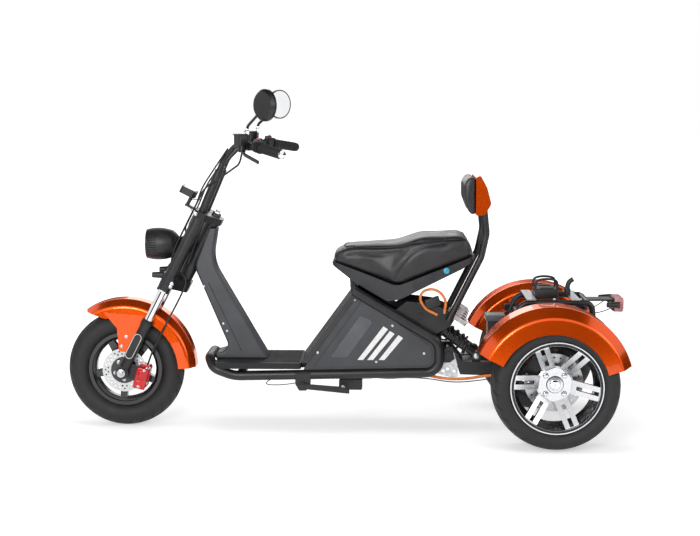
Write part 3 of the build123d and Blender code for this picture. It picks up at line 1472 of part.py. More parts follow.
# Rear brakes: a caliper over each disc on a plate beside the bearing flange
rear_caliper_y = rear_disc_y - DISC_T / 2
with BuildPart() as rear_caliper:
    with BuildSketch(wheel_plane(REAR_AXLE_X, rear_caliper_y + 17, REAR_TYRE_R, 38)):
        with Locations((REAR_DISC_R - 12, 0)):
            RectangleRounded(44, 64, 8)
    extrude(amount=34)
    with BuildSketch(wheel_plane(REAR_AXLE_X, rear_caliper_y + 7, REAR_TYRE_R, 38)):
        Circle(REAR_DISC_R + 6)
    extrude(amount=14, mode=Mode.SUBTRACT)
    with BuildSketch(wheel_plane(REAR_AXLE_X, TUBE_END_Y + 5, REAR_TYRE_R, 38)):
        with BuildLine():
            Polyline((0, -34), (REAR_DISC_R + 4, -28), (REAR_DISC_R + 4, 28), (0, 34), close=True)
        make_face()
    extrude(amount=8)
    with BuildSketch(wheel_plane(REAR_AXLE_X, rear_caliper_y - 9, REAR_TYRE_R, 38)):
        with Locations((REAR_DISC_R - 12, 0)):
            Rectangle(40, 50)
    extrude(amount=rear_caliper_y - 9 - TUBE_END_Y)
    add(axle_housing.part, mode=Mode.SUBTRACT)
save_pair(rear_caliper.part.solids().sort_by(SortBy.VOLUME)[-1], "rear_calipers")

# Controller: a finned metal block on the backrest's cross bar, tilted down to the rear
FIN_COUNT = 4
FIN_PITCH = 9.0
FIN_T = 3.0
CONTROLLER_TILT = 34.0
tilt = math.radians(CONTROLLER_TILT)
controller_plane = Plane(
    origin=(REST_FOOT_X, 0, REST_FOOT_Z),
    x_dir=(-math.cos(tilt), 0, -math.sin(tilt)),
    z_dir=(-math.sin(tilt), 0, math.cos(tilt)),
)
with BuildPart() as controller:
    with BuildSketch(controller_plane.offset(11)):
        with Locations((32, 0)):
            RectangleRounded(76, 120, 6)
    extrude(amount=18)
    with BuildSketch(controller_plane.offset(29)):
        with Locations((30, 0)):
            Rectangle(20, 100)
    extrude(amount=FIN_COUNT * FIN_PITCH)
    for fin in range(FIN_COUNT):
        with BuildSketch(controller_plane.offset(29 + FIN_PITCH * (fin + 1) - FIN_T)):
            with Locations((30, 0)):
                Rectangle(62 - 5 * fin, 112)
        extrude(amount=FIN_T)
save(controller.part, "controller")

# Relay box on a post from the swing arm, with a sloping lid
with BuildPart() as relay_box:
    with BuildSketch(side_plane(62)):
        with BuildLine():
            Polyline((-536, 322), (-536, 412), (-590, 398), (-590, 322), close=True)
        make_face()
        with BuildLine():
            Polyline((-530, 412), (-534, 430), (-600, 410), (-598, 394), close=True)
        make_face()
        with BuildLine():
            Polyline((-552, 250), (-552, 324), (-576, 324), (-576, 250), close=True)
        make_face()
    extrude(amount=80)
    add(swing_arm.part, mode=Mode.SUBTRACT)
save(relay_box.part, "relay_box")

# Charge box under the floor, hung from the board by two straps
with BuildPart() as charge_box:
    with BuildSketch(side_plane(104)):
        with Locations((-30, 176)):
            RectangleRounded(86, 38, 6)
    extrude(amount=60)
    with BuildSketch(Plane.XY.offset(190)):
        with Locations((-52, 74), (-8, 74)):
            Rectangle(20, 50)
    extrude(amount=DECK_Z - BOARD_T - 190)
save(charge_box.part, "charge_box")

# Side stand: a pivot bracket under the left rail and a leg that lies along it when folded
STAND_X = 145.0
STAND_Z = 180.0
STAND_PIN_R = 5.0
STAND_EYE_R = 14.0
STAND_LENGTH = 172.0
STAND_Y = 150.0
with BuildPart() as stand_bracket:
    with BuildSketch(side_plane(STAND_Y - 3)):
        with BuildLine():
            Polyline((116, 226), (116, 186), (132, 162), (158, 162), (172, 186), (172, 226), close=True)
        make_face()
    extrude(amount=30)
    with BuildSketch(side_plane(STAND_Y + 13)):
        with Locations((STAND_X, STAND_Z)):
            Circle(STAND_PIN_R)
    extrude(amount=20)
    with BuildSketch(side_plane(STAND_Y + 15)):
        with Locations((STAND_X, STAND_Z)):
            Circle(STAND_PIN_R + 4)
    extrude(amount=4)
    add(rails_piece)
save(stand_bracket.part, "frame_rails")

with BuildPart() as side_stand:
    with BuildSketch(side_plane(STAND_Y + 10)):
        with BuildLine():
            Polyline(
                (STAND_X, STAND_Z + 9),
                (STAND_X - STAND_LENGTH + 24, STAND_Z - 2),
                (STAND_X - STAND_LENGTH, STAND_Z - 14),
                (STAND_X - STAND_LENGTH, STAND_Z - 26),
                (STAND_X, STAND_Z - 9),
                close=True,
            )
        make_face()
        with Locations((STAND_X, STAND_Z)):
            Circle(STAND_EYE_R)
            Circle(STAND_PIN_R + SHAFT_GAP, mode=Mode.SUBTRACT)
    extrude(amount=10)
save(side_stand.part, "side_stand")


# Cables: each is one round tube along straight runs joined by large arcs
def bend_radii(points):
    """The largest even radius at each inner point: 0.45 of the shorter run over tan(half turn)."""
    radii = []
    for before, here, after in zip(points, points[1:], points[2:]):
        run_in = here - before
        run_out = after - here
        half_turn = math.radians(run_in.get_angle(run_out) / 2)
        radii.append(0.45 * min(run_in.length, run_out.length) / math.tan(half_turn))
    return radii


CABLES = (
    # name, radius, route from end to end, pieces that its ends are seated in
    (
        "brake_hose",
        3.5,
        [
            bar_clamp + Vector(22, 14, -22),
            bar_clamp + Vector(32, 2, -64),
            Vector(436, 104, 946),
            Vector(506, 72, 904),
            fork_point(34, 61, UPPER_CROWN_HIGH + 10),
            fork_point(34, 61, UPPER_CROWN_LOW - 90),
            fork_point(32, 62, LOWER_CROWN_HIGH + 76),
            fork_point(16, 62, LOWER_CROWN_HIGH + 24),
            fork_point(-62, 62, LOWER_CROWN_HIGH + 17),
            fork_point(-66, 66, LOWER_CROWN_LOW - 6),
            fork_point(-64, 84, 200),
            fork_point(-64, 82, 120),
            fork_point(-70, 66, 62),
            fork_point(-68, 60, 40),
        ],
        (fork_crowns, front_caliper, brake_lever),
    ),
    (
        "control_cables",
        3.0,
        [
            Vector(418, 84, 1046),
            Vector(462, 72, 984),
            Vector(518, 60, 902),
            fork_point(34, 47, UPPER_CROWN_HIGH + 6),
            fork_point(34, 46, UPPER_CROWN_LOW - 60),
            fork_point(20, 38, 560),
            Vector(LAMP_REAR_X + 4, 12, LAMP_Z + 18),
        ],
        (headlamp_bracket, handlebar),
    ),
    (
        "power_cable",
        5.0,
        [
            Vector(-348, 112.3, 440),
            Vector(-304, 112.3, 462),
            Vector(-282, 115, 500),
            Vector(-294, 118, 528),
            Vector(-326, 119, 538),
            Vector(-358, 118, 526),
            Vector(-380, 115, 494),
            Vector(-374, 112.3, 446),
        ],
        (),
    ),
)
for name, radius, route, seats in CABLES:
    radii = bend_radii(route)
    with BuildPart() as cable:
        with BuildLine() as cable_path:
            FilletPolyline(*route, radius=radii)
        with BuildSketch(Plane(origin=cable_path.line @ 0, z_dir=cable_path.line % 0)):
            Circle(radius)
        sweep(path=cable_path.wires()[0])
        for seat in seats:
            add(seat.part, mode=Mode.SUBTRACT)
    cable_piece = cable.part.solids().sort_by(SortBy.VOLUME)[-1]
    if name == "control_cables":
        save_pair(cable_piece, name)
    else:
        save(cable_piece, name)
    expected = math.pi * radius**2 * cable_path.wires()[0].length
    print(name, "radii", [round(value) for value in radii], "volume share", cable.part.volume / expected)
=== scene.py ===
# %% [markdown]
# # An electric trike, dressed for the camera
# The imported CAD model is the frame of this scene: it is already in metres and in place, so every
# new piece is drawn straight where it belongs. X points forward, Y to the rider's left, Z up.
# We load it first. Nothing that we add may reach past that box.

# %% Load the frame
import math

import bmesh
import bpy
from mathutils import Matrix, Vector
from mathutils.bvhtree import BVHTree


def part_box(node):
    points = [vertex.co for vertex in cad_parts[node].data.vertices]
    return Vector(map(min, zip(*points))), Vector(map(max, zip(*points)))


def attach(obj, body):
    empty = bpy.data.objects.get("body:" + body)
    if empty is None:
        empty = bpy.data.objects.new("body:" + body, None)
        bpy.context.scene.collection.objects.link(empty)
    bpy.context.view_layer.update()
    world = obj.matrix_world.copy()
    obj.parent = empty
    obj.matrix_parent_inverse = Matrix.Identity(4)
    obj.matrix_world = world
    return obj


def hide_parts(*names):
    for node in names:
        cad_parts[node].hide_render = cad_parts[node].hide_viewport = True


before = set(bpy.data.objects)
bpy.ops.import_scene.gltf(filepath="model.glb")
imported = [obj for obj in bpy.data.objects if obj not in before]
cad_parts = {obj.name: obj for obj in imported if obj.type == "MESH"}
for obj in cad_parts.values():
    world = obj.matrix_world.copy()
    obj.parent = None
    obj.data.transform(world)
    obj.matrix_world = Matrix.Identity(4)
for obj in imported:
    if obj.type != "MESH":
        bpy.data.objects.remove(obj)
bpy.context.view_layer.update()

# %% [markdown]
# ## The camera and the studio
# The photograph was taken from the left, a little above the handlebar, with a long lens. A long
# lens far away keeps the wheels round. The camera looks slightly down and slightly forward, so it
# is placed by its point and two turns, and the lens length sets how much it takes in.

# %% Camera
CAMERA_AT = (-0.175, 5.209, 1.2345)
LOOK_DOWN = math.radians(6.96)
LOOK_FORWARD = math.radians(1.65)
LENS_MM = 72.3

camera_data = bpy.data.cameras.new("camera")
camera_data.lens = LENS_MM
camera_data.sensor_width = 36.0
camera = bpy.data.objects.new("camera", camera_data)
camera.location = CAMERA_AT
camera.rotation_euler = (math.pi / 2 - LOOK_DOWN, 0.0, math.pi + LOOK_FORWARD)
bpy.context.scene.collection.objects.link(camera)
bpy.context.scene.camera = camera
bpy.context.scene.view_settings.view_transform = "Standard"

# %% [markdown]
# A hex colour is written for a screen, and a shader's sockets want the linear amount of light. One
# function turns the one into the other. Another adds a shader node: its settings are plain
# attributes, and each input takes either a value or the output of an earlier node.

# %% Colours and nodes
def linear(hex_colour):
    """The linear RGBA of an sRGB hex colour such as '#d8d8d8'."""
    levels = [int(hex_colour[i : i + 2], 16) / 255 for i in (1, 3, 5)]
    return [v / 12.92 if v <= 0.04045 else ((v + 0.055) / 1.055) ** 2.4 for v in levels] + [1.0]


def add_node(tree, kind, inputs=None, **settings):
    """Add one node, set it, and fill its inputs with values or with other nodes' outputs."""
    node = tree.nodes.new(kind)
    for name, value in settings.items():
        setattr(node, name, value)
    for name, value in (inputs or {}).items():
        if isinstance(value, bpy.types.NodeSocket):
            tree.links.new(value, node.inputs[name])
        else:
            node.inputs[name].default_value = value
    return node


def add_math(tree, operation, first, second):
    """The output of a math node that takes two values or outputs."""
    return add_node(tree, "ShaderNodeMath", {0: first, 1: second}, operation=operation).outputs[0]


# %% [markdown]
# The background is a white world that only the camera and mirrors see. The light on the trike
# comes from big soft lamps and a dimmer world, so that the white behind it never washes it out.
# The floor works the same way: a little light of its own for the camera, and a matt surface that
# still shows the shadow under the wheels.

# %% World and lamps
WORLD_FILL = 0.36
WHITE = linear("#ffffff")
world = bpy.data.worlds.new("studio")
bpy.context.scene.world = world
world.use_nodes = True
tree = world.node_tree
tree.nodes.clear()
rays = add_node(tree, "ShaderNodeLightPath").outputs
seen = add_math(tree, "MAXIMUM", rays["Is Camera Ray"], rays["Is Glossy Ray"])
seen_or_through = add_math(tree, "MAXIMUM", seen, rays["Is Transmission Ray"])
dim = add_node(tree, "ShaderNodeBackground", {"Color": WHITE, "Strength": WORLD_FILL})
white = add_node(tree, "ShaderNodeBackground", {"Color": WHITE, "Strength": 1.0})
chosen = add_node(
    tree, "ShaderNodeMixShader", {0: seen_or_through, 1: dim.outputs[0], 2: white.outputs[0]}
)
add_node(tree, "ShaderNodeOutputWorld", {"Surface": chosen.outputs[0]})

LAMPS = (
    # name, place, points at, side length, watts
    ("lamp_top", (0.1, 0.2, 3.6), (0.0, 0.0, 0.3), 2.6, 44),
    ("lamp_left", (1.2, 4.4, 1.9), (-0.2, 0.0, 0.35), 1.6, 96),
    ("lamp_rear", (-3.6, 2.2, 1.9), (-0.4, 0.0, 0.4), 1.8, 24),
    ("lamp_far", (0.4, -4.0, 2.2), (0.0, 0.0, 0.5), 2.4, 24),
)
for name, place, target, side, watts in LAMPS:
    lamp = bpy.data.objects.new(name, bpy.data.lights.new(name, "AREA"))
    lamp.data.size = side
    lamp.data.energy = watts
    lamp.location = place
    lamp.rotation_euler = (Vector(target) - Vector(place)).to_track_quat("-Z", "Y").to_euler()
    bpy.context.scene.collection.objects.link(lamp)
print("world and", len(LAMPS), "lamps")

# %% [markdown]
# Photographers of glossy things stand black cards beside the set. A card puts a dark shape into the
# reflections, so that paint and metal show where they curve. It is seen by mirror-like rays only.

# %% Dark cards
CARDS = (
    # name, centre, full width, full height, turn about the upright, lean back from upright
    ("card_left", (0.0, 3.3, 0.5), 7.0, 1.0, 0.0, 0.0),
    ("card_right", (0.0, -3.3, 0.5), 7.0, 1.0, 0.0, 0.0),
    ("card_front", (3.6, 0.0, 0.5), 4.0, 1.0, 90.0, 0.0),
    ("card_back", (-3.6, 0.0, 0.5), 4.0, 1.0, 90.0, 0.0),
    ("card_over", (0.0, -0.2, 2.7), 5.2, 3.6, 0.0, 90.0),
)


def add_sheet(name, half_size, stand=Matrix.Identity(4)):
    """A flat sheet for the studio, laid on the ground and then moved by a matrix."""
    grid = bmesh.new()
    bmesh.ops.create_grid(grid, x_segments=1, y_segments=1, size=half_size, matrix=stand)
    mesh = bpy.data.meshes.new(name)
    grid.to_mesh(mesh)
    grid.free()
    sheet = bpy.data.objects.new(name, mesh)
    bpy.context.scene.collection.objects.link(sheet)
    return sheet


card_cloth = bpy.data.materials.new("cloth_felt_black")
card_cloth.use_nodes = True
tree = card_cloth.node_tree
tree.nodes.clear()
matt = add_node(tree, "ShaderNodeBsdfDiffuse", {"Color": linear("#1d1d1f")})
add_node(tree, "ShaderNodeOutputMaterial", {"Surface": matt.outputs[0]})
for name, centre, width, height, turn, lean in CARDS:
    stand = Matrix.Translation(centre) @ Matrix.Rotation(math.radians(turn), 4, "Z")
    stand = stand @ Matrix.Rotation(math.radians(90 - lean), 4, "X")
    stand = stand @ Matrix.Diagonal((width, height, 1.0, 1.0))
    card = add_sheet(name, 0.5, stand)
    card.data.materials.append(card_cloth)
    card.visible_camera = False
    card.visible_diffuse = False
    card.visible_shadow = False
    card.visible_transmission = False
print(len(CARDS), "dark cards")

# %% [markdown]
# The floor is white paper. Far from the trike it glows as bright as the world, so no edge shows.

# %% Floor
FLOOR_REACH = 40.0
FLOOR_GLOW = 0.46
FAR_GLOW = 1.0
FADE_FROM = 1.2
FADE_TO = 4.5
floor = add_sheet("floor", FLOOR_REACH)
floor_paint = bpy.data.materials.new("backdrop_paper_white")
floor_paint.use_nodes = True
tree = floor_paint.node_tree
tree.nodes.clear()
rays = add_node(tree, "ShaderNodeLightPath").outputs
seen = add_math(tree, "MAXIMUM", rays["Is Camera Ray"], rays["Is Glossy Ray"])
ground_place = add_node(tree, "ShaderNodeTexCoord").outputs["Object"]
distance = add_node(tree, "ShaderNodeVectorMath", {0: ground_place}, operation="LENGTH").outputs["Value"]
fade = add_node(
    tree,
    "ShaderNodeMapRange",
    {"Value": distance, "From Min": FADE_FROM, "From Max": FADE_TO, "To Min": FLOOR_GLOW, "To Max": FAR_GLOW},
)
glow = add_math(tree, "MULTIPLY", seen, fade.outputs[0])
light = add_node(tree, "ShaderNodeEmission", {"Color": WHITE, "Strength": glow})
paper = add_node(tree, "ShaderNodeBsdfDiffuse", {"Color": linear("#f6f6f6")})
both = add_node(tree, "ShaderNodeAddShader", {0: light.outputs[0], 1: paper.outputs[0]})
add_node(tree, "ShaderNodeOutputMaterial", {"Surface": both.outputs[0]})
floor.data.materials.append(floor_paint)
print("floor", 2 * FLOOR_REACH, "m across")

# %% [markdown]
# ## Materials
# Every finish starts the same way: a Principled shader, its output, and the Object coordinates
# that place a pattern in real metres. Values that are equal all over the surface go straight on
# the shader's own sockets. What varies, such as grain or scuffs, is added by nodes afterwards.

# %% How a material starts
MM = 0.001
NOISE_LOW, NOISE_HIGH = 0.3, 0.7
DARK_AT, LIGHT_AT = 0.35, 0.68


def start_material(name, colour, roughness, **sockets):
    """A new material with its shader set. Gives the material, its tree, its shader and object space."""
    material = bpy.data.materials.new(name)
    material.use_nodes = True
    tree = material.node_tree
    shader = tree.nodes["Principled BSDF"]
    shader.inputs["Base Color"].default_value = linear(colour)
    shader.inputs["Roughness"].default_value = roughness
    for socket, value in sockets.items():
        shader.inputs[socket.replace("_", " ")].default_value = value
    place = add_node(tree, "ShaderNodeTexCoord").outputs["Object"]
    return material, tree, shader, place


def add_bump(tree, shader, height, distance, **inputs):
    """Lead a height pattern into the shader's normal."""
    bump = add_node(tree, "ShaderNodeBump", {"Height": height, "Distance": distance, **inputs})
    tree.links.new(bump.outputs["Normal"], shader.inputs["Normal"])


def drift_gloss(tree, shader, pattern, rough_low, rough_high):
    """Let the roughness follow a noise pattern between two values."""
    span = {"From Min": NOISE_LOW, "From Max": NOISE_HIGH, "To Min": rough_low, "To Max": rough_high}
    rough = add_node(tree, "ShaderNodeMapRange", {"Value": pattern, **span})
    tree.links.new(rough.outputs[0], shader.inputs["Roughness"])


def tone_and_wear(tree, shader, place, dark, light, patch_mm, rough_low, rough_high):
    """Let the colour drift between two tones over patches of a real size, and the gloss with it."""
    scale = 1 / (patch_mm * MM)
    noise = add_node(tree, "ShaderNodeTexNoise", {"Vector": place, "Scale": scale, "Detail": 3.0})
    drift = noise.outputs["Fac"]
    ramp = add_node(tree, "ShaderNodeValToRGB", {"Fac": drift})
    ramp.color_ramp.elements[0].position = DARK_AT
    ramp.color_ramp.elements[0].color = linear(dark)
    ramp.color_ramp.elements[1].position = LIGHT_AT
    ramp.color_ramp.elements[1].color = linear(light)
    tree.links.new(ramp.outputs["Color"], shader.inputs["Base Color"])
    drift_gloss(tree, shader, drift, rough_low, rough_high)


def grain(tree, shader, place, grain_mm, height_mm, detail=2.0):
    """A fine random grain as bump, with its spacing and its height in real millimetres."""
    scale = 1 / (grain_mm * MM)
    noise = add_node(tree, "ShaderNodeTexNoise", {"Vector": place, "Scale": scale, "Detail": detail})
    add_bump(tree, shader, noise.outputs["Fac"], height_mm * MM, Strength=1.0)


def worn_finish(name, colour, roughness, tones, patch_mm, gloss, grain_mm, relief_mm, detail=2.0, **sockets):
    """The usual finish: two tones in patches, a range of gloss, and a fine grain."""
    material, tree, shader, place = start_material(name, colour, roughness, **sockets)
    tone_and_wear(tree, shader, place, *tones, patch_mm, *gloss)
    grain(tree, shader, place, grain_mm, relief_mm, detail)
    return material


# %% [markdown]
# Powder coat is baked on as dust that melts, so it is never quite flat: it has a soft orange-peel
# ripple a millimetre or two wide. Two blacks are used, a satin one on the frame and a slightly
# glossier one on the fork. The cast front rim is glossier still.

# %% Powder coat and black paints
frame_black = worn_finish(
    "steel_powder_coated_black", "#17171a", 0.36, ("#141416", "#1f1f22"), 60, (0.32, 0.42), 1.6, 0.03
)
fork_black = worn_finish(
    "aluminium_cast_painted_black", "#1b1b1d", 0.4, ("#161618", "#232326"), 40, (0.34, 0.46), 0.9, 0.04
)
rim_black = worn_finish(
    "aluminium_cast_gloss_black", "#121214", 0.24, ("#0f0f11", "#19191b"), 30, (0.22, 0.3), 1.2, 0.02,
    Coat_Weight=0.6, Coat_Roughness=0.08,
)

# %% [markdown]
# The orange is a metallic paint under a clear coat: tiny flakes lie in the colour, and the coat on
# top gives the sharp reflections. The coat is tinted, so the paint turns deeper where we look
# through more of it. Real flakes are 0.05 mm, too fine to show, so they are drawn at 0.7 mm.

# %% Orange paint
FLAKE_MM = 0.7
orange_paint, tree, shader, place = start_material(
    "paint_metallic_orange_clearcoated",
    "#f4600a",
    0.26,
    Metallic=0.8,
    Coat_Weight=0.55,
    Coat_Roughness=0.03,
    Coat_Tint=linear("#ffb070"),
)
flakes = add_node(tree, "ShaderNodeTexVoronoi", {"Vector": place, "Scale": 1 / (FLAKE_MM * MM)})
cloud = add_node(tree, "ShaderNodeTexNoise", {"Vector": place, "Scale": 6.0, "Detail": 2.0})
flake_tone = add_node(tree, "ShaderNodeValToRGB", {"Fac": flakes.outputs["Distance"]})
flake_tone.color_ramp.elements[0].color = linear("#ff7a0c")
flake_tone.color_ramp.elements[1].color = linear("#f05606")
cloud_tone = add_node(tree, "ShaderNodeValToRGB", {"Fac": cloud.outputs["Fac"]})
cloud_tone.color_ramp.elements[0].color = linear("#f2f2f2")
cloud_tone.color_ramp.elements[1].color = WHITE
blend = add_node(
    tree,
    "ShaderNodeMix",
    {0: 1.0, 6: flake_tone.outputs["Color"], 7: cloud_tone.outputs["Color"]},
    data_type="RGBA",
    blend_type="MULTIPLY",
)
tree.links.new(blend.outputs[2], shader.inputs["Base Color"])
grain(tree, shader, place, 2.4, 0.012)

red_paint = worn_finish(
    "aluminium_anodised_red", "#c8141a", 0.3, ("#b81016", "#e01c20"), 18, (0.26, 0.36), 0.6, 0.02,
    Metallic=0.25, Coat_Weight=0.5,
)

# %% [markdown]
# Metals: chrome is nearly a mirror with the faintest ripple. A machined wheel face is cut on a
# lathe, which leaves fine rings, so its roughness changes along the radius. Zinc-plated steel is
# duller and cloudy. Metals keep the shader's own IOR.

# %% Metals
chrome = worn_finish(
    "steel_chrome_plated", "#e6e7ea", 0.06, ("#dcdde0", "#ededf0"), 25, (0.04, 0.09), 3.0, 0.006, Metallic=1.0
)
zinc = worn_finish(
    "steel_zinc_plated", "#c9cbcf", 0.34, ("#b4b6ba", "#dadcdf"), 12, (0.26, 0.44), 0.8, 0.02, Metallic=0.9
)

bare_alloy, tree, shader, place = start_material("aluminium_extruded_bare", "#c4c6c9", 0.38, Metallic=0.85)
tone_and_wear(tree, shader, place, "#b2b4b7", "#d6d8da", 15, 0.3, 0.46)
drawn = add_node(tree, "ShaderNodeMapping", {"Vector": place, "Scale": (40.0, 1200.0, 40.0)})
lines = add_node(tree, "ShaderNodeTexNoise", {"Vector": drawn.outputs[0], "Scale": 1.0, "Detail": 2.0})
add_bump(tree, shader, lines.outputs["Fac"], 0.03 * MM)

# %% Lathe-cut metal
WHEEL_CENTRES = {
    "front": (0.8185, 0.0, 0.218),
    "rear_left": (-0.7565, 0.332, 0.227),
    "rear_right": (-0.7565, -0.332, 0.227),
}
RING_PITCH_MM = 1.4


def lathe_metal(name, colour, centre, rough_low, rough_high):
    """Metal cut on a lathe about a wheel's axle: rings of slightly different gloss and height."""
    material, tree, shader, place = start_material(name, colour, rough_low, Metallic=0.9)
    centred = add_node(tree, "ShaderNodeMapping", {"Vector": place, "Location": [-v for v in centre]})
    in_plane = {0: centred.outputs[0], 1: (1.0, 0.0, 1.0)}
    flat = add_node(tree, "ShaderNodeVectorMath", in_plane, operation="MULTIPLY")
    reach = add_node(tree, "ShaderNodeVectorMath", {0: flat.outputs[0]}, operation="LENGTH")
    turns = add_math(tree, "MULTIPLY", reach.outputs["Value"], 1 / (RING_PITCH_MM * MM))
    line = add_node(tree, "ShaderNodeCombineXYZ", {"X": turns})
    rings = add_node(tree, "ShaderNodeTexNoise", {"Vector": line.outputs[0], "Scale": 1.0, "Detail": 3.0})
    drift_gloss(tree, shader, rings.outputs["Fac"], rough_low, rough_high)
    add_bump(tree, shader, rings.outputs["Fac"], 0.02 * MM)
    return material


disc_metal = {
    place_name: lathe_metal(f"steel_disc_ground_{place_name}", "#cfd0d2", centre, 0.24, 0.4)
    for place_name, centre in WHEEL_CENTRES.items()
}
face_metal = {
    place_name: lathe_metal(f"aluminium_machined_{place_name}", "#e2e3e6", centre, 0.16, 0.3)
    for place_name, centre in WHEEL_CENTRES.items()
}

# %% [markdown]
# Plastics: moulds are etched, so ABS and polypropylene covers have a fine leather-like grain and a
# soft sheen. The saddle is vinyl embossed with a small pebble pattern. Rubber is darker, duller,
# and greys a little where it has been touched by the road.

# %% Plastics and rubber
column_abs = worn_finish(
    "abs_moulded_graphite", "#3c3d41", 0.42, ("#38393d", "#424347"), 90, (0.38, 0.47), 1.1, 0.035
)
panel_abs = worn_finish(
    "abs_moulded_charcoal", "#2b2b2d", 0.46, ("#28282a", "#313133"), 80, (0.42, 0.52), 1.0, 0.04
)
pan_abs = worn_finish(
    "polypropylene_moulded_grey", "#222326", 0.42, ("#1e1f22", "#292a2d"), 70, (0.36, 0.46), 1.2, 0.04
)
box_abs = worn_finish(
    "abs_moulded_black", "#1a1a1c", 0.44, ("#161618", "#212123"), 50, (0.4, 0.52), 0.9, 0.035
)
lamp_black = worn_finish(
    "steel_painted_matt_black", "#202022", 0.42, ("#1b1b1d", "#28282b"), 35, (0.38, 0.5), 0.8, 0.02
)
tyre_rubber = worn_finish(
    "rubber_vulcanised_tyre", "#1d1d1e", 0.62, ("#19191a", "#262627"), 24, (0.55, 0.74), 1.4, 0.05, 4.0
)
soft_rubber = worn_finish(
    "rubber_moulded_grip", "#161617", 0.66, ("#131314", "#1f1f20"), 12, (0.6, 0.75), 0.7, 0.04
)

# %% Vinyl
PEBBLE_MM = 2.2
CREASE_MM = 0.8
vinyl, tree, shader, place = start_material("vinyl_embossed_black", "#232325", 0.42, Specular_IOR_Level=0.5)
tone_and_wear(tree, shader, place, "#1f1f21", "#29292c", 45, 0.36, 0.48)
spots = {"Vector": place, "Scale": 1 / (PEBBLE_MM * MM)}
pebble = add_node(tree, "ShaderNodeTexVoronoi", spots, feature="SMOOTH_F1")
crease = add_node(tree, "ShaderNodeTexNoise", {"Vector": place, "Scale": 1 / (CREASE_MM * MM), "Detail": 2.0})
relief = add_math(tree, "SUBTRACT", pebble.outputs["Distance"], crease.outputs["Fac"])
add_bump(tree, shader, relief, 0.12 * MM, Strength=0.7)

# %% Cables and white plastic
cable_black = worn_finish(
    "pvc_extruded_black", "#141415", 0.4, ("#111112", "#1c1c1e"), 10, (0.36, 0.5), 0.8, 0.03
)
cable_orange = worn_finish(
    "silicone_extruded_orange", "#f08a3c", 0.42, ("#e87c2c", "#f79a50"), 10, (0.36, 0.5), 0.8, 0.03
)
stripe_white = worn_finish(
    "abs_moulded_white", "#f2f2f2", 0.3, ("#ececec", "#f7f7f7"), 20, (0.26, 0.36), 1.0, 0.02
)

# %% [markdown]
# See-through parts: a lamp lens is clear polycarbonate with moulded flutes, the tail lens is a
# pale red acrylic, and a mirror is silvered glass. Clear plastics have an IOR near 1.5.

# %% Lenses and glass
FLUTE_MM = 7.0
PRISM_MM = 5.0


def add_flutes(tree, shader, place, pitch_mm, direction, depth_mm):
    """Straight moulded ridges across a lens, as bump."""
    scale = 1 / (pitch_mm * MM) / math.tau
    ridges = {"Vector": place, "Scale": scale}
    wave = add_node(tree, "ShaderNodeTexWave", ridges, bands_direction=direction)
    add_bump(tree, shader, wave.outputs["Fac"], depth_mm * MM, Strength=0.6)


lens_clear, tree, shader, place = start_material(
    "polycarbonate_moulded_clear", "#f4f6f8", 0.05, Transmission_Weight=0.85, IOR=1.58
)
add_flutes(tree, shader, place, FLUTE_MM, "Y", 0.6)

lens_red, tree, shader, place = start_material(
    "acrylic_moulded_pale_red", "#e8a7a7", 0.12, Transmission_Weight=0.35, IOR=1.49
)
add_flutes(tree, shader, place, PRISM_MM, "Z", 0.5)

lens_amber, tree, shader, place = start_material(
    "acrylic_moulded_smoke_amber", "#8c4a1c", 0.14, Transmission_Weight=0.3, IOR=1.49
)
grain(tree, shader, place, 2.5, 0.2)

mirror_silver, tree, shader, place = start_material("glass_silvered", "#f4f5f6", 0.015, Metallic=1.0)
tone_and_wear(tree, shader, place, "#f0f1f2", "#f8f8f9", 60, 0.01, 0.03)
print(len(bpy.data.materials), "materials")

# %% [markdown]
# The CAD pieces whose shape is already right keep it and only get their finish. Each node's own
# material slots are filled again from this table.

# %% Finishes of the CAD pieces
NODE_FINISHES = {
    tyre_rubber: ["front_tyre", "rear_tyre_left", "rear_tyre_right"],
    rim_black: ["front_rim"],
    disc_metal["front"]: ["front_disc"],
    disc_metal["rear_left"]: ["rear_disc_left"],
    disc_metal["rear_right"]: ["rear_disc_right"],
    face_metal["rear_left"]: ["rear_rim_left"],
    face_metal["rear_right"]: ["rear_rim_right"],
    chrome: ["front_axle", "fork_stanchions"],
    frame_black: [
        "fork_crowns", "handlebar", "brake_levers", "mirrors", "frame_rails", "frame_stays",
        "steering_head", "cross_bars", "backrest_frame", "swing_arm", "carrier", "luggage_rack",
        "side_stand",
    ],
    fork_black: ["fork_covers", "fork_legs", "axle_housing", "rear_calipers", "shock_dampers"],
    orange_paint: ["front_fender", "backrest_shell", "rear_fender_left", "rear_fender_right"],
    red_paint: ["front_caliper"],
    lamp_black: ["headlamp", "front_indicators", "rear_indicators", "shock_springs"],
    lens_clear: ["headlamp_lens"],
    lens_red: ["tail_lamp"],
    mirror_silver: ["mirror_glass"],
    column_abs: ["column_cover", "side_panels"],
    panel_abs: ["seat_box"],
    pan_abs: ["seat_pan"],
    box_abs: ["battery", "display", "relay_box", "charge_box"],
    soft_rubber: ["floor_board", "grips"],
    vinyl: ["seat_cushion", "backrest_pad"],
    stripe_white: ["panel_stripes"],
    bare_alloy: ["controller"],
    zinc: ["rack_straps", "arm_bracket"],
    cable_black: ["brake_hose", "control_cables"],
    cable_orange: ["power_cable"],
}
for finish, nodes in NODE_FINISHES.items():
    for node in nodes:
        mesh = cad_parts[node].data
        mesh.materials.clear()
        mesh.materials.append(finish)
dressed = {node for nodes in NODE_FINISHES.values() for node in nodes}
print("nodes without a finish:", sorted(set(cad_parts) - dressed))

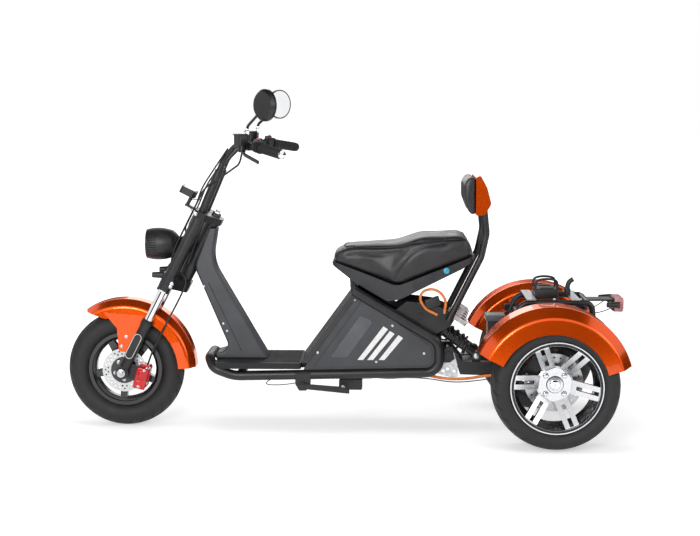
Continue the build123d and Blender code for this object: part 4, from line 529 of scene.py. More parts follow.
# %% [markdown]
# ## Pieces modelled here
# Each piece starts as an empty bmesh that operators fill with shapes. One helper closes it: it
# merges doubles, turns all faces outward, shades it smooth but keeps edges sharper than 32 degrees,
# and ties the piece to the CAD body that it moves with. Places are written in millimetres.

# %% Helpers for pieces
SHARP_ANGLE = math.radians(32)
MERGE_WITHIN = 0.00002


def mm(x, y, z):
    """A point given in millimetres, in metres."""
    return Vector((x, y, z)) * MM


def finish_piece(bm, name, body, *materials, stands_for=(), sharp=SHARP_ANGLE):
    """Close a bmesh and make it a piece that rides on a body, in place of the CAD nodes it stands for."""
    bmesh.ops.remove_doubles(bm, verts=bm.verts, dist=MERGE_WITHIN)
    bmesh.ops.recalc_face_normals(bm, faces=bm.faces)
    mesh = bpy.data.meshes.new(name)
    bm.to_mesh(mesh)
    bm.free()
    for material in materials:
        mesh.materials.append(material)
    mesh.shade_smooth()
    mesh.set_sharp_from_angle(angle=sharp)
    piece = bpy.data.objects.new(name, mesh)
    bpy.context.scene.collection.objects.link(piece)
    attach(piece, body)
    if stands_for:
        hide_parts(*stands_for)
    return piece


def break_edges(bm, edges, width, segments):
    """Round or chamfer some edges by a width."""
    bmesh.ops.bevel(
        bm, geom=list(edges), offset=width, affect="EDGES", segments=segments, profile=0.5, material=-1
    )


def add_bar(bm, start, end, radius, sides=24, chamfer=0.0, end_radius=None):
    """A round bar from one point to another, with its end edges broken by a chamfer."""
    way = end - start
    turned = Matrix.Translation((start + end) / 2) @ way.to_track_quat("Z", "Y").to_matrix().to_4x4()
    made = bmesh.ops.create_cone(
        bm,
        cap_ends=True,
        segments=sides,
        radius1=radius,
        radius2=radius if end_radius is None else end_radius,
        depth=way.length,
        matrix=turned,
    )["verts"]
    if chamfer:
        edges = {edge for vert in made for edge in vert.link_edges}
        rims = {edge for edge in edges if any(len(face.verts) > 4 for face in edge.link_faces)}
        break_edges(bm, rims, chamfer, 2)


def add_bolt(bm, place, way, size):
    """A hexagon bolt head on a thin washer, standing on a surface that faces along way."""
    way = way.normalized()
    foot = place - way * size * 0.3
    add_bar(bm, foot, place + way * size * 0.16, size * 0.78, 20, size * 0.04)
    add_bar(bm, foot, place + way * size * 0.62, size * 0.52, 6, size * 0.06)


def add_box(bm, centre, size, turn=None, chamfer=0.0):
    """A block with rounded edges, given by its centre and full size, turned about its centre."""
    matrix = Matrix.Translation(centre) @ (turn or Matrix.Identity(4)) @ Matrix.Diagonal((*size, 1.0))
    made = bmesh.ops.create_cube(bm, size=1.0, matrix=matrix)["verts"]
    if chamfer:
        break_edges(bm, {edge for vert in made for edge in vert.link_edges}, chamfer, 3)


def made_mesh(thing):
    """A new mesh of an object with its modifiers carried out."""
    graph = bpy.context.evaluated_depsgraph_get()
    return bpy.data.meshes.new_from_object(thing.evaluated_get(graph))


def add_route(bm, points, radius, resolution=3, order=3):
    """A round cable or wire along a smooth route, made as a curve and then kept as mesh."""
    curve = bpy.data.curves.new("route", "CURVE")
    curve.dimensions = "3D"
    curve.bevel_depth = radius
    curve.bevel_resolution = resolution
    curve.use_fill_caps = True
    spline = curve.splines.new("NURBS")
    spline.points.add(len(points) - 1)
    for knot, point in zip(spline.points, points):
        knot.co = (*point, 1.0)
    spline.order_u = min(order, len(points))
    spline.use_endpoint_u = True
    spline.resolution_u = 6
    holder = bpy.data.objects.new("route", curve)
    bpy.context.scene.collection.objects.link(holder)
    made = made_mesh(holder)
    bm.from_mesh(made)
    bpy.data.objects.remove(holder)
    bpy.data.curves.remove(curve)
    bpy.data.meshes.remove(made)


# %% [markdown]
# ### Tyres
# A tyre is a turned shape, so its section is spun about the axle. The section has the CAD tyre's
# arcs. The tread is then cut like the mould does it: the faces of two ring grooves and of slanted
# side grooves are picked by their place, and their points are pushed in towards the axle.

# %% Tyres
TYRE_STEPS = 336
SIDE_ROWS = 9
TREAD_ROWS = 20
GROOVE_EVERY = 12
GROOVE_DEPTH = 3.2 * MM
RING_GROOVE_AT = 0.24
SIDE_GROOVE_FROM = 0.3


def arc_points(a, b, c, count):
    """Points on the circle through three section points, from the first to the last."""
    ax, ay, bx, by, cx, cy = *a, *b, *c
    d = 2 * (ax * (by - cy) + bx * (cy - ay) + cx * (ay - by))
    ux = ((ax**2 + ay**2) * (by - cy) + (bx**2 + by**2) * (cy - ay) + (cx**2 + cy**2) * (ay - by)) / d
    uy = ((ax**2 + ay**2) * (cx - bx) + (bx**2 + by**2) * (ax - cx) + (cx**2 + cy**2) * (bx - ax)) / d
    start = math.atan2(ay - uy, ax - ux)
    middle = math.atan2(by - uy, bx - ux)
    end = math.atan2(cy - uy, cx - ux)
    radius = math.hypot(ax - ux, ay - uy)
    if (start - middle) % math.tau <= (start - end) % math.tau:
        sweep = -((start - end) % math.tau)
    else:
        sweep = (end - start) % math.tau
    turns = [start + sweep * i / count for i in range(count + 1)]
    return [(ux + radius * math.cos(t), uy + radius * math.sin(t)) for t in turns]


def add_tyre(bm, centre, outer, width, rim_r, rim_w, shoulder):
    """A tyre about a wheel's axle with ring grooves and slanted shoulder grooves, all in metres."""
    bead = rim_r - 8 * MM
    foot_y = rim_w / 2 - 4 * MM
    side = (width / 2, (outer + bead) / 2)
    edge = (width / 2 * shoulder, outer - (outer - bead) * 0.16)
    wall_arc = arc_points((foot_y, rim_r + 1 * MM), side, edge, SIDE_ROWS)
    crown = arc_points(edge, (0.0, outer), (-edge[0], edge[1]), TREAD_ROWS)
    half = wall_arc[:-1]
    section = [(foot_y, bead)] + half + crown + [(-y, r) for y, r in reversed(half)] + [(-foot_y, bead)]
    ring = [bm.verts.new(centre + Vector((0.0, y, r))) for y, r in section]
    edges = [bm.edges.new(pair) for pair in zip(ring, ring[1:])]
    edges.append(bm.edges.new((ring[-1], ring[0])))
    bmesh.ops.spin(
        bm,
        geom=ring + edges,
        cent=centre,
        axis=(0, 1, 0),
        angle=math.tau,
        steps=TYRE_STEPS,
        use_merge=True,
    )
    bmesh.ops.recalc_face_normals(bm, faces=bm.faces)
    picked = []
    for face in bm.faces:
        middle = face.calc_center_median() - centre
        reach = math.hypot(middle.x, middle.z)
        if reach < edge[1] - 24 * MM:
            continue
        step = int((math.atan2(middle.z, middle.x) / math.tau) % 1 * TYRE_STEPS)
        across = abs(middle.y) / edge[0]
        slant = int(across * 12)
        stagger = GROOVE_EVERY // 2 if middle.y > 0 else 0
        side_groove = across > SIDE_GROOVE_FROM and (step + slant + stagger) % GROOVE_EVERY < 2
        ring_groove = abs(across - RING_GROOVE_AT) < 0.5 / TREAD_ROWS * 2
        if side_groove or ring_groove:
            picked.append(face)
    moved = bmesh.ops.extrude_face_region(bm, geom=picked)["geom"]
    sunk = {item for item in moved if isinstance(item, bmesh.types.BMVert)}
    for vert in sunk:
        offset = vert.co - centre
        inward = Vector((offset.x, 0.0, offset.z)).normalized()
        vert.co -= inward * GROOVE_DEPTH
    bmesh.ops.delete(bm, geom=picked, context="FACES_ONLY")


TYRES = (
    # node, body, wheel centre, radius, width, rim radius, rim width, shoulder share
    ("front_tyre", "front_wheel", "front", 0.218, 0.106, 0.138, 0.070, 0.74),
    ("rear_tyre_left", "rear_wheel_left", "rear_left", 0.227, 0.160, 0.163, 0.136, 0.84),
    ("rear_tyre_right", "rear_wheel_right", "rear_right", 0.227, 0.160, 0.163, 0.136, 0.84),
)
for node, body, centre_name, outer, width, rim_r, rim_w, shoulder in TYRES:
    bm = bmesh.new()
    add_tyre(bm, Vector(WHEEL_CENTRES[centre_name]), outer, width, rim_r, rim_w, shoulder)
    tyre = finish_piece(bm, f"{node}_tread", body, tyre_rubber, stands_for=[node])
    print(tyre.name, "faces", len(tyre.data.polygons), "size", [round(v, 3) for v in tyre.dimensions])

# %% [markdown]
# ### Two finishes on one casting
# The rear wheels are painted black all over and then only the faces that look outward are cut bare
# on a lathe. The same happens on the front brake disc, where the carrier is black and the ring is
# bare. So each face of those CAD pieces gets the first or the second finish from where it looks
# or lies, and the shape stays as it is.

# %% Machined faces and painted pockets
OUTWARD_SHARE = 0.55
SPOKE_REACH = 0.1525
LIP_REACH = 0.1535
CARRIER_REACH = 0.0505
for side, sign in (("left", 1.0), ("right", -1.0)):
    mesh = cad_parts[f"rear_rim_{side}"].data
    mesh.materials.clear()
    mesh.materials.append(rim_black)
    mesh.materials.append(face_metal[f"rear_{side}"])
    hub = Vector(WHEEL_CENTRES[f"rear_{side}"])
    for face in mesh.polygons:
        middle = face.center - hub
        reach = math.hypot(middle.x, middle.z)
        cut_bare = face.normal.y * sign > OUTWARD_SHARE and (reach < SPOKE_REACH or reach > LIP_REACH)
        face.material_index = 1 if cut_bare else 0
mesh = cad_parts["front_disc"].data
mesh.materials.append(rim_black)
hub = Vector(WHEEL_CENTRES["front"])
for face in mesh.polygons:
    middle = face.center - hub
    face.material_index = 1 if math.hypot(middle.x, middle.z) < CARRIER_REACH else 0
print("rear rims and front disc have two finishes")

# %% [markdown]
# ### Springs
# A coil spring is one wire wound into a helix. A small circle is spun about the damper's line, and
# each step also moves it along that line, so the wire climbs as it turns. The last turn at each
# end is ground flat, which a short disc stands for.

# %% Shock absorber springs
SHOCK_TOP = mm(-285, 0, 436)
SHOCK_FOOT = mm(-494, 0, 284)
COIL_REACH = 20.0 * MM
WIRE = 4.2 * MM
COIL_TURNS = 7
STEPS_PER_TURN = 28
ACROSS_TRIKE = Vector((0, 1, 0))
coil_way = (SHOCK_FOOT - SHOCK_TOP).normalized()
coil_from = SHOCK_TOP + coil_way * 33 * MM
coil_length = (SHOCK_FOOT - SHOCK_TOP).length - 82 * MM
bm = bmesh.new()
for y in (74 * MM, -74 * MM):
    middle = coil_from + Vector((0, y, 0))
    across = coil_way.cross(ACROSS_TRIKE).normalized()
    wire_turn = ACROSS_TRIKE.to_track_quat("Z", "Y").to_matrix().to_4x4()
    place_wire = Matrix.Translation(middle + across * COIL_REACH) @ wire_turn
    wire = bmesh.ops.create_circle(bm, segments=10, radius=WIRE, cap_ends=True, matrix=place_wire)["verts"]
    wire_edges = {edge for vert in wire for edge in vert.link_edges}
    wire_faces = {face for vert in wire for face in vert.link_faces}
    steps = COIL_TURNS * STEPS_PER_TURN
    bmesh.ops.spin(
        bm,
        geom=wire + list(wire_edges) + list(wire_faces),
        cent=middle,
        axis=coil_way,
        dvec=coil_way * (coil_length / steps),
        angle=math.tau * COIL_TURNS,
        steps=steps,
    )
    for along in (-6 * MM, coil_length + 1 * MM):
        seat = middle + coil_way * along
        add_bar(bm, seat, seat + coil_way * 5 * MM, 25 * MM, 32, 1 * MM)
springs = finish_piece(bm, "shock_springs_coiled", "chassis", lamp_black, stands_for=["shock_springs"])
print("springs", len(springs.data.polygons), "faces")

# %% [markdown]
# ### The saddle and the backrest pad
# A saddle is foam under a sewn vinyl cover, so it is crowned between its seams and pulled in at
# them. A copy of the plain CAD pad is made slightly smaller, remeshed into even quads, and blown up
# by cloth pressure like a bag. A cap on how far each point may move keeps the photo's outline. The
# points are then smoothed, so that no stray fold is left. The seams are pressed in along their
# lines, and the edge gets a thin piping.

# %% Foam under vinyl
EVEN_PASSES = 5
WRINKLE_PASSES = 14
BLOW_STEPS = 20


def relax(mesh, passes):
    """Smooth a mesh's points a number of times."""
    bm = bmesh.new()
    bm.from_mesh(mesh)
    for _ in range(passes):
        bmesh.ops.smooth_vert(
            bm, verts=bm.verts, factor=0.5, use_axis_x=True, use_axis_y=True, use_axis_z=True
        )
    bm.to_mesh(mesh)
    bm.free()


def soft_copy(node, name, voxel_mm, shrink_mm, cap_mm):
    """A swollen, evenly meshed copy of a CAD pad, that stands for it."""
    bm = bmesh.new()
    bm.from_mesh(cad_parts[node].data)
    bmesh.ops.remove_doubles(bm, verts=bm.verts, dist=MERGE_WITHIN)
    low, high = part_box(node)
    middle = (low + high) / 2
    for vert in bm.verts:
        for axis in range(3):
            half = (high[axis] - low[axis]) / 2
            vert.co[axis] = middle[axis] + (vert.co[axis] - middle[axis]) * (1 - shrink_mm * MM / half)
    mesh = bpy.data.meshes.new(name)
    bm.to_mesh(mesh)
    bm.free()
    piece = bpy.data.objects.new(name, mesh)
    bpy.context.scene.collection.objects.link(piece)
    remesh = piece.modifiers.new("even_quads", "REMESH")
    remesh.mode = "VOXEL"
    remesh.voxel_size = voxel_mm * MM
    even = made_mesh(piece)
    piece.modifiers.clear()
    piece.data = even
    relax(even, EVEN_PASSES)
    starts = [vert.co.copy() for vert in even.vertices]
    cloth = piece.modifiers.new("foam_pressure", "CLOTH")
    cloth.settings.use_pressure = True
    cloth.settings.uniform_pressure_force = 4.0
    cloth.settings.effector_weights.gravity = 0.0
    for step in range(1, BLOW_STEPS + 1):
        bpy.context.scene.frame_set(step)
    blown = made_mesh(piece)
    piece.modifiers.clear()
    moved = 0.0
    for start, vert, target in zip(starts, even.vertices, blown.vertices):
        reach = target.co - start
        if reach.length > cap_mm * MM:
            reach = reach.normalized() * cap_mm * MM
        vert.co = start + reach
        moved = max(moved, reach.length)
    bpy.context.scene.frame_set(1)
    print(name, "points moved up to", round(moved * 1000, 1), "mm")
    relax(even, WRINKLE_PASSES)
    even.materials.clear()
    even.materials.append(vinyl)
    even.shade_smooth()
    smooth = piece.modifiers.new("finer", "SUBSURF")
    smooth.levels = 1
    smooth.render_levels = 1
    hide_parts(node)
    return piece


def press_seam(piece, route, depth_mm, width_mm):
    """Press a sewn seam into a soft piece along a route, deepest on the line."""
    ends = list(zip(route, route[1:]))
    for vert in piece.data.vertices:
        near = width_mm * MM
        for a, b in ends:
            if abs(vert.co.x - a.x) > 0.04 + (b - a).length:
                continue
            along = max(0.0, min(1.0, (vert.co - a).dot(b - a) / max((b - a).length_squared, 1e-9)))
            near = min(near, (vert.co - a.lerp(b, along)).length)
        if near < width_mm * MM:
            share = 1 - near / (width_mm * MM)
            vert.co -= vert.normal * depth_mm * MM * share**1.5


def surface_of(piece):
    """A tree of the piece's own faces, for finding points on it with rays."""
    points = [vert.co for vert in piece.data.vertices]
    return BVHTree.FromPolygons(points, [face.vertices[:] for face in piece.data.polygons])


def height_from(table):
    """A function of X that runs straight between the (x, z) rows of a table, in millimetres."""

    def at(x):
        x_mm = x / MM
        rows = sorted(table)
        if x_mm <= rows[0][0]:
            return rows[0][1] * MM
        for (x0, z0), (x1, z1) in zip(rows, rows[1:]):
            if x_mm <= x1:
                return (z0 + (z1 - z0) * (x_mm - x0) / (x1 - x0)) * MM
        return rows[-1][1] * MM

    return at


def ring_on(tree, centre, height_at, count):
    """Points round a piece at a height that changes along X, found by rays from outside."""
    points = []
    for i in range(count):
        way = Vector((math.cos(math.tau * i / count), math.sin(math.tau * i / count), 0.0))
        x = centre.x
        hit = None
        for _ in range(4):
            hit = tree.ray_cast(Vector((centre.x, centre.y, height_at(x))) + way, -way)[0]
            if hit is None:
                break
            x = hit.x
        if hit is not None:
            points.append(hit)
    return points


def line_on(tree, points, side):
    """Side view points laid on the left or right face of a piece."""
    laid = []
    for x, z in points:
        hit = tree.ray_cast(mm(x, side * 400, z), Vector((0, -side, 0)))[0]
        if hit is not None:
            laid.append(hit)
    return laid


# %% [markdown]
# The photo shows the saddle's cover sewn from a top panel and a side wall, with a curved seam that
# rises from the belly to the passenger's part, and a crease under the rider's edge.

# %% Saddle and backrest pad
TOP_SEAM = [
    (45, 668), (28, 676), (-9, 687), (-136, 686), (-210, 692),
    (-264, 708), (-356, 717), (-429, 722), (-486, 720),
]
BELLY_SEAM = [(-191, 572), (-203, 600), (-214, 625), (-234, 652), (-262, 676), (-301, 696), (-374, 708)]
CREASE = [(-20, 656), (-60, 662), (-118, 662), (-170, 667), (-209, 676)]
saddle = soft_copy("seat_cushion", "saddle", voxel_mm=6.0, shrink_mm=3.0, cap_mm=6.0)
saddle_skin = surface_of(saddle)
saddle_middle = mm(-210, 0, 640)
top_ring = ring_on(saddle_skin, saddle_middle, height_from(TOP_SEAM), 150)
press_seam(saddle, top_ring + top_ring[:1], 3.0, 11.0)
side_seams = []
for side in (1, -1):
    side_seams += [line_on(saddle_skin, BELLY_SEAM, side), line_on(saddle_skin, CREASE, side)]
for route in side_seams:
    press_seam(saddle, route, 4.0, 14.0)
for across in (-70, 0, 70):
    channel = []
    for x in range(-470, 30, 20):
        hit = saddle_skin.ray_cast(mm(x, across, 900), Vector((0, 0, -1)))[0]
        if hit is not None:
            channel.append(hit)
    press_seam(saddle, channel, 2.2, 9.0)
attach(saddle, "seat")

pad = soft_copy("backrest_pad", "backrest_cushion", voxel_mm=3.5, shrink_mm=0.0, cap_mm=3.0)
pad_skin = surface_of(pad)
for y in (-84, 84):
    seam = []
    for z in range(812, 944, 8):
        hit = pad_skin.ray_cast(Vector((0.0, y * MM, z * MM)), Vector((-1, 0, 0)))[0]
        if hit is not None:
            seam.append(hit)
    press_seam(pad, seam, 2.4, 9.0)
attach(pad, "chassis")
print("saddle", len(saddle.data.polygons), "faces, pad", len(pad.data.polygons), "faces")

bm = bmesh.new()
for route in side_seams:
    add_route(bm, route, 1.0 * MM, 2)
piping = [p + (p - saddle_middle).normalized() * 0.5 * MM for p in top_ring]
add_route(bm, piping + piping[:3], 1.8 * MM, 3)
thread = finish_piece(bm, "saddle_piping", "seat", vinyl, sharp=math.radians(60))
print("piping", len(thread.data.polygons), "faces")

# %% [markdown]
# ### The front end
# Small fasteners tell how a thing is held together. Most bolts here are a hexagon on a washer. The
# fork's points are found along its own slope: forward of the leg, to the side, and up from the axle.

# %% Points on the fork
FORK_RAKE = math.radians(27)
FORK_UP = Vector((-math.sin(FORK_RAKE), 0, math.cos(FORK_RAKE)))
FORK_FORWARD = Vector((math.cos(FORK_RAKE), 0, math.sin(FORK_RAKE)))
LEFT = ACROSS_TRIKE
SIDES = (1, -1)
LEG_Y = 94
front_hub = Vector(WHEEL_CENTRES["front"])


def fork_at(forward, y, up):
    """A point in the fork's own directions, in millimetres from the front axle."""
    return front_hub + (FORK_FORWARD * forward + FORK_UP * up + LEFT * y) * MM


def skin_of(node):
    """A tree of a CAD node's faces, for setting small parts on its surface."""
    return surface_of(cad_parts[node])


# %% Fork, disc and fender bolts
FORK_BOLTS = (
    # forward, out from the leg's middle, up, size
    (0, 31, 0, 20),
    (-20, 20, 372, 9),
    (-20, 20, 384, 9),
    (16, 22, 655, 9),
)
CARRIER_BOLTS = 5
CARRIER_BOLT_REACH = 36 * MM
CARRIER_FACE_Y = 58
FENDER_BOLTS = ((806, 347), (825, 310))
FENDER_TONGUE_Y = 74
bm = bmesh.new()
for side in SIDES:
    for forward, out, up, size in FORK_BOLTS:
        add_bolt(bm, fork_at(forward, side * (LEG_Y + out), up), LEFT * side, size * MM)
for turn in range(CARRIER_BOLTS):
    way = Matrix.Rotation(math.tau * turn / CARRIER_BOLTS + 0.3, 4, "Y") @ Vector((CARRIER_BOLT_REACH, 0, 0))
    add_bolt(bm, front_hub + way + LEFT * CARRIER_FACE_Y * MM, LEFT, 9 * MM)
for side in SIDES:
    for x, z in FENDER_BOLTS:
        add_bolt(bm, mm(x, side * FENDER_TONGUE_Y, z), LEFT * side, 8 * MM)
add_bar(bm, fork_at(-45, 0, 666), fork_at(-45, 0, 684), 15 * MM, 6, 1 * MM)
add_bar(bm, fork_at(-45, 0, 684), fork_at(-45, 0, 692), 9 * MM, 24, 1 * MM)
front_bolts = finish_piece(bm, "front_bolts", "steering", zinc)
print("front bolts", len(front_bolts.data.polygons), "faces")

# %% [markdown]
# Rubber seals close each fork leg where the chrome tube slides in. The long cover on the leg has a
# fine white outline, which is a thin cord round a shape with straight sides and round ends.

# %% Fork seals and leg outlines
SEAL_RINGS = (
    # up from the axle, radius, height
    (206, 21, 9),
    (214, 18.5, 6),
    (340, 25, 6),
)
OUTLINE_FORWARD = 4
OUTLINE_UP = 110
OUTLINE_END = 35
OUTLINE_R = 14
OUTLINE_OUT = 22.4
OUTLINE_STEPS = 24
OUTLINE_FACE = 0.1152
OUTLINE_FACE_AREA = 4e-5
bm = bmesh.new()
for side in SIDES:
    for up, radius, height in SEAL_RINGS:
        foot = fork_at(0, side * LEG_Y, up)
        add_bar(bm, foot, fork_at(0, side * LEG_Y, up + height), radius * MM, 32, 1.5 * MM)
    outline = []
    for half, shift in ((0, OUTLINE_END), (1, -OUTLINE_END)):
        for step in range(OUTLINE_STEPS + 1):
            turn = math.pi * half + math.pi * step / OUTLINE_STEPS
            forward = OUTLINE_FORWARD + OUTLINE_R * math.cos(turn)
            up = OUTLINE_UP + shift + OUTLINE_R * math.sin(turn)
            outline.append(fork_at(forward, side * (LEG_Y + OUTLINE_OUT), up))
    outline.append(outline[0])
    add_route(bm, outline, 1.1 * MM, 2, 2)
seals = finish_piece(bm, "fork_seals", "steering", soft_rubber, stripe_white)
for face in seals.data.polygons:
    if abs(face.center.y) > OUTLINE_FACE and face.area < OUTLINE_FACE_AREA:
        face.material_index = 1
print("fork seals", len(seals.data.polygons), "faces")

# %% Bolts and ribs on the inner caliper
caliper_low, caliper_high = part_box("front_caliper")
caliper_mid = (caliper_low + caliper_high) / 2
bm = bmesh.new()
for forward, up in ((-14, 24), (-10, -26)):
    place = Vector((caliper_mid.x + forward * MM, caliper_high.y - 1 * MM, caliper_mid.z + up * MM))
    add_bolt(bm, place, LEFT, 9 * MM)
for along in (-16, 0, 16):
    place = Vector((caliper_mid.x, caliper_high.y, caliper_mid.z + along * MM))
    add_box(bm, place, (0.02, 0.003, 0.005), None, 0.001)
finish_piece(bm, "caliper_bolts", "steering", zinc)

# %% [markdown]
# The headlamp is a spun steel can. Its optics are a bright bowl with stepped rings and a bulb cap,
# behind a domed clear cover in a rolled rim. Seven thin ribs sit on each side.

# %% Headlamp
LAMP_EYE = mm(734, 0, 688)
BACK = Vector((-1, 0, 0))
bm = bmesh.new()
for radius, depth in ((49, 7.4), (38, 7.0), (27, 6.4), (16, 5.6)):
    add_bar(bm, LAMP_EYE + BACK * 8.2 * MM, LAMP_EYE + BACK * depth * MM, radius * MM, 48, 0.6 * MM)
add_bar(bm, LAMP_EYE + BACK * 6 * MM, LAMP_EYE + BACK * 3 * MM, 9 * MM, 24, 1 * MM)
finish_piece(bm, "headlamp_optics", "steering", chrome)

COVER_R = 50 * MM
COVER_FLATNESS = 0.05
COVER_BACK = 2.8 * MM
bm = bmesh.new()
dome = bmesh.ops.create_uvsphere(bm, u_segments=64, v_segments=24, radius=COVER_R)["verts"]
for vert in dome:
    vert.co = LAMP_EYE + Vector((vert.co.x * COVER_FLATNESS - COVER_BACK, vert.co.y, vert.co.z))
finish_piece(bm, "headlamp_glass", "steering", lens_clear, stands_for=["headlamp_lens"])

LAMP_RIM_R = 53.5
LAMP_RIM_BEAD = 2.8
bm = bmesh.new()
rim_place = LAMP_EYE + mm(-LAMP_RIM_BEAD, 0, LAMP_RIM_R)
rim_turn = Matrix.Translation(rim_place) @ Matrix.Rotation(math.pi / 2, 4, "X")
bead = bmesh.ops.create_circle(bm, segments=12, radius=LAMP_RIM_BEAD * MM, matrix=rim_turn)["verts"]
bead_edges = {edge for vert in bead for edge in vert.link_edges}
bmesh.ops.spin(
    bm, geom=bead + list(bead_edges), cent=LAMP_EYE, axis=(1, 0, 0), angle=math.tau, steps=72, use_merge=True
)
for side in SIDES:
    for step in range(-3, 4):
        turn = math.radians(step * 9)
        reach = Vector((0, side * math.cos(turn), math.sin(turn)))
        rib_front = mm(727, 0, 688) + reach * 57.2 * MM
        rib_back = mm(692, 0, 688) + reach * 59.6 * MM
        add_bar(bm, rib_front, rib_back, 1.9 * MM, 10, 0.5 * MM)
finish_piece(bm, "headlamp_rim", "steering", rim_black)

# %% Indicator lenses and display glass
INDICATOR_LENSES = (
    # name, body, y, x from, x to, z, radius, chamfer
    ("front_indicator_lenses", "steering", 84, 697, 703, 581, 10.2, 1.0),
    ("rear_indicator_lenses", "chassis", 104, -1008, -1014, 478, 11.0, 1.5),
)
for name, body, y, x_from, x_to, z, radius, chamfer in INDICATOR_LENSES:
    bm = bmesh.new()
    for side in SIDES:
        add_bar(bm, mm(x_from, side * y, z), mm(x_to, side * y, z), radius * MM, 24, chamfer * MM)
    finish_piece(bm, name, body, lens_amber)

screen_glass, tree, shader, place = start_material(
    "glass_tinted_display", "#0c0f12", 0.05, Coat_Weight=1.0, Coat_Roughness=0.02
)
tone_and_wear(tree, shader, place, "#0a0c0f", "#12161a", 30, 0.04, 0.08)
fork_turn = Matrix((FORK_FORWARD, LEFT, FORK_UP)).transposed().to_4x4()
bm = bmesh.new()
add_box(bm, fork_at(85, 0, 716.2), (0.046, 0.06, 0.002), fork_turn, 0.0006)
finish_piece(bm, "display_glass", "steering", screen_glass)
print("headlamp, indicators and display done")

# %% [markdown]
# ### The handlebar
# Each grip is a moulded rubber sleeve with raised rings and a chrome cap on its end. Inside it sit
# the switch pod with its buttons and the brake's reservoir lid with two screws.

# %% Grips, switches and mirror feet
BAR_END = mm(203, 362, 1036)
BAR_SWEEP = mm(310, 222, 1060)
BAR_BEND = mm(388, 110, 1056)
GRIP_RINGS = 11
RING_PITCH = 11
CLAMP_SHARE = 0.72
UPRIGHT = Vector((0, 0, 1))
grip_way = (BAR_SWEEP - BAR_END).normalized()
clamp_way = (BAR_SWEEP - BAR_BEND).normalized()
clamp_at = BAR_BEND + (BAR_SWEEP - BAR_BEND) * CLAMP_SHARE


def on_side(vector, side):
    """The same point or direction on the left or the right."""
    return Vector((vector.x, vector.y * side, vector.z))


rings, caps, pods, buttons = (bmesh.new() for _ in range(4))
for side in SIDES:
    end = on_side(BAR_END, side)
    way = on_side(grip_way, side)
    for ring in range(GRIP_RINGS):
        at = end + way * (6 + ring * RING_PITCH) * MM
        add_bar(rings, at, at + way * 6 * MM, 17.8 * MM, 28, 1.4 * MM)
    add_bar(caps, end - way * 11 * MM, end - way * 4 * MM, 15.5 * MM, 32, 3 * MM)
    add_bar(caps, end - way * 13 * MM, end - way * 10 * MM, 8 * MM, 24, 1 * MM)
    pod = end + way * 150 * MM
    add_bar(pods, pod - way * 4 * MM, pod + way * 20 * MM, 20 * MM, 32, 3 * MM)
    add_bar(pods, pod - way * 2 * MM, pod + way * 4 * MM, 21 * MM, 32, 1 * MM)
    switch = pod + mm(0, 0, 18) + way * 8 * MM
    add_box(pods, switch, (0.026, 0.024, 0.016), None, 0.003)
    for across in (-6, 6):
        add_box(buttons, switch + mm(-4, across, 9), (0.009, 0.008, 0.005), None, 0.001)
    clamp = on_side(clamp_at, side)
    across = on_side(clamp_way, side)
    add_bar(pods, clamp - across * 20 * MM, clamp - across * 12 * MM, 15 * MM, 28, 1 * MM)
    lid = clamp + mm(27, side * 12, 41)
    lid_turn = Matrix.Rotation(math.radians(-55 * side), 4, "Z")
    add_box(pods, lid, (0.05, 0.034, 0.005), lid_turn, 0.0014)
    for offset in (18, -18):
        screw = lid + lid_turn @ mm(offset, 0, 2)
        add_bar(caps, screw, screw + UPRIGHT * 1.4 * MM, 3 * MM, 16, 0.4 * MM)
    foot = clamp + mm(4, side * 8, 38)
    add_bar(caps, foot, foot + UPRIGHT * 14 * MM, 8 * MM, 6, 0.8 * MM)
    add_bar(caps, foot + UPRIGHT * 14 * MM, foot + UPRIGHT * 24 * MM, 6.4 * MM, 24, 0.6 * MM)
finish_piece(rings, "grip_rings", "steering", soft_rubber)
finish_piece(caps, "bar_chrome", "steering", chrome)
finish_piece(pods, "switch_pods", "steering", box_abs)
finish_piece(buttons, "switch_buttons", "steering", red_paint)
print("grips, pods and mirror feet done")

# %% [markdown]
# ### Body covers
# The column cover is two mouldings that meet in a seam down each side, held by small screws. The
# seam and the screws are laid on the covers by rays from the side, at the photo's places.

# %% Seam, screws and the lighter panel field
COLUMN_SEAM = [(499, 547), (470, 485), (436, 415), (404, 348), (378, 294)]
COLUMN_SCREWS = [(517, 533), (445, 395), (431, 368)]
PANEL_SCREWS = [(-45, 497), (32, 398), (-184, 402), (-125, 268), (-300, 300), (-253, 430), (90, 300)]
PANEL_FIELD_Y = 0.1325
column_skin = skin_of("column_cover")
panel_skin = skin_of("side_panels")
seam = bmesh.new()
screws = bmesh.new()
for side in SIDES:
    add_route(seam, line_on(column_skin, COLUMN_SEAM, side), 1.3 * MM, 2)
    for point in line_on(column_skin, COLUMN_SCREWS, side):
        add_bar(screws, point - LEFT * side * 2 * MM, point + LEFT * side * 1.6 * MM, 4.2 * MM, 20, 0.6 * MM)
for side in SIDES:
    for point in line_on(panel_skin, PANEL_SCREWS, side):
        add_bar(screws, point - LEFT * side * 2 * MM, point + LEFT * side * 1.4 * MM, 4.6 * MM, 20, 0.6 * MM)
finish_piece(seam, "column_seam", "chassis", box_abs)
finish_piece(screws, "body_screws", "chassis", zinc)

panel_grey = worn_finish(
    "abs_moulded_lighter_grey", "#55565b", 0.36, ("#505156", "#5c5d62"), 60, (0.32, 0.42), 1.0, 0.03
)
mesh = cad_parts["side_panels"].data
mesh.materials.append(panel_grey)
for face in mesh.polygons:
    if abs(face.center.y) > PANEL_FIELD_Y:
        face.material_index = 1

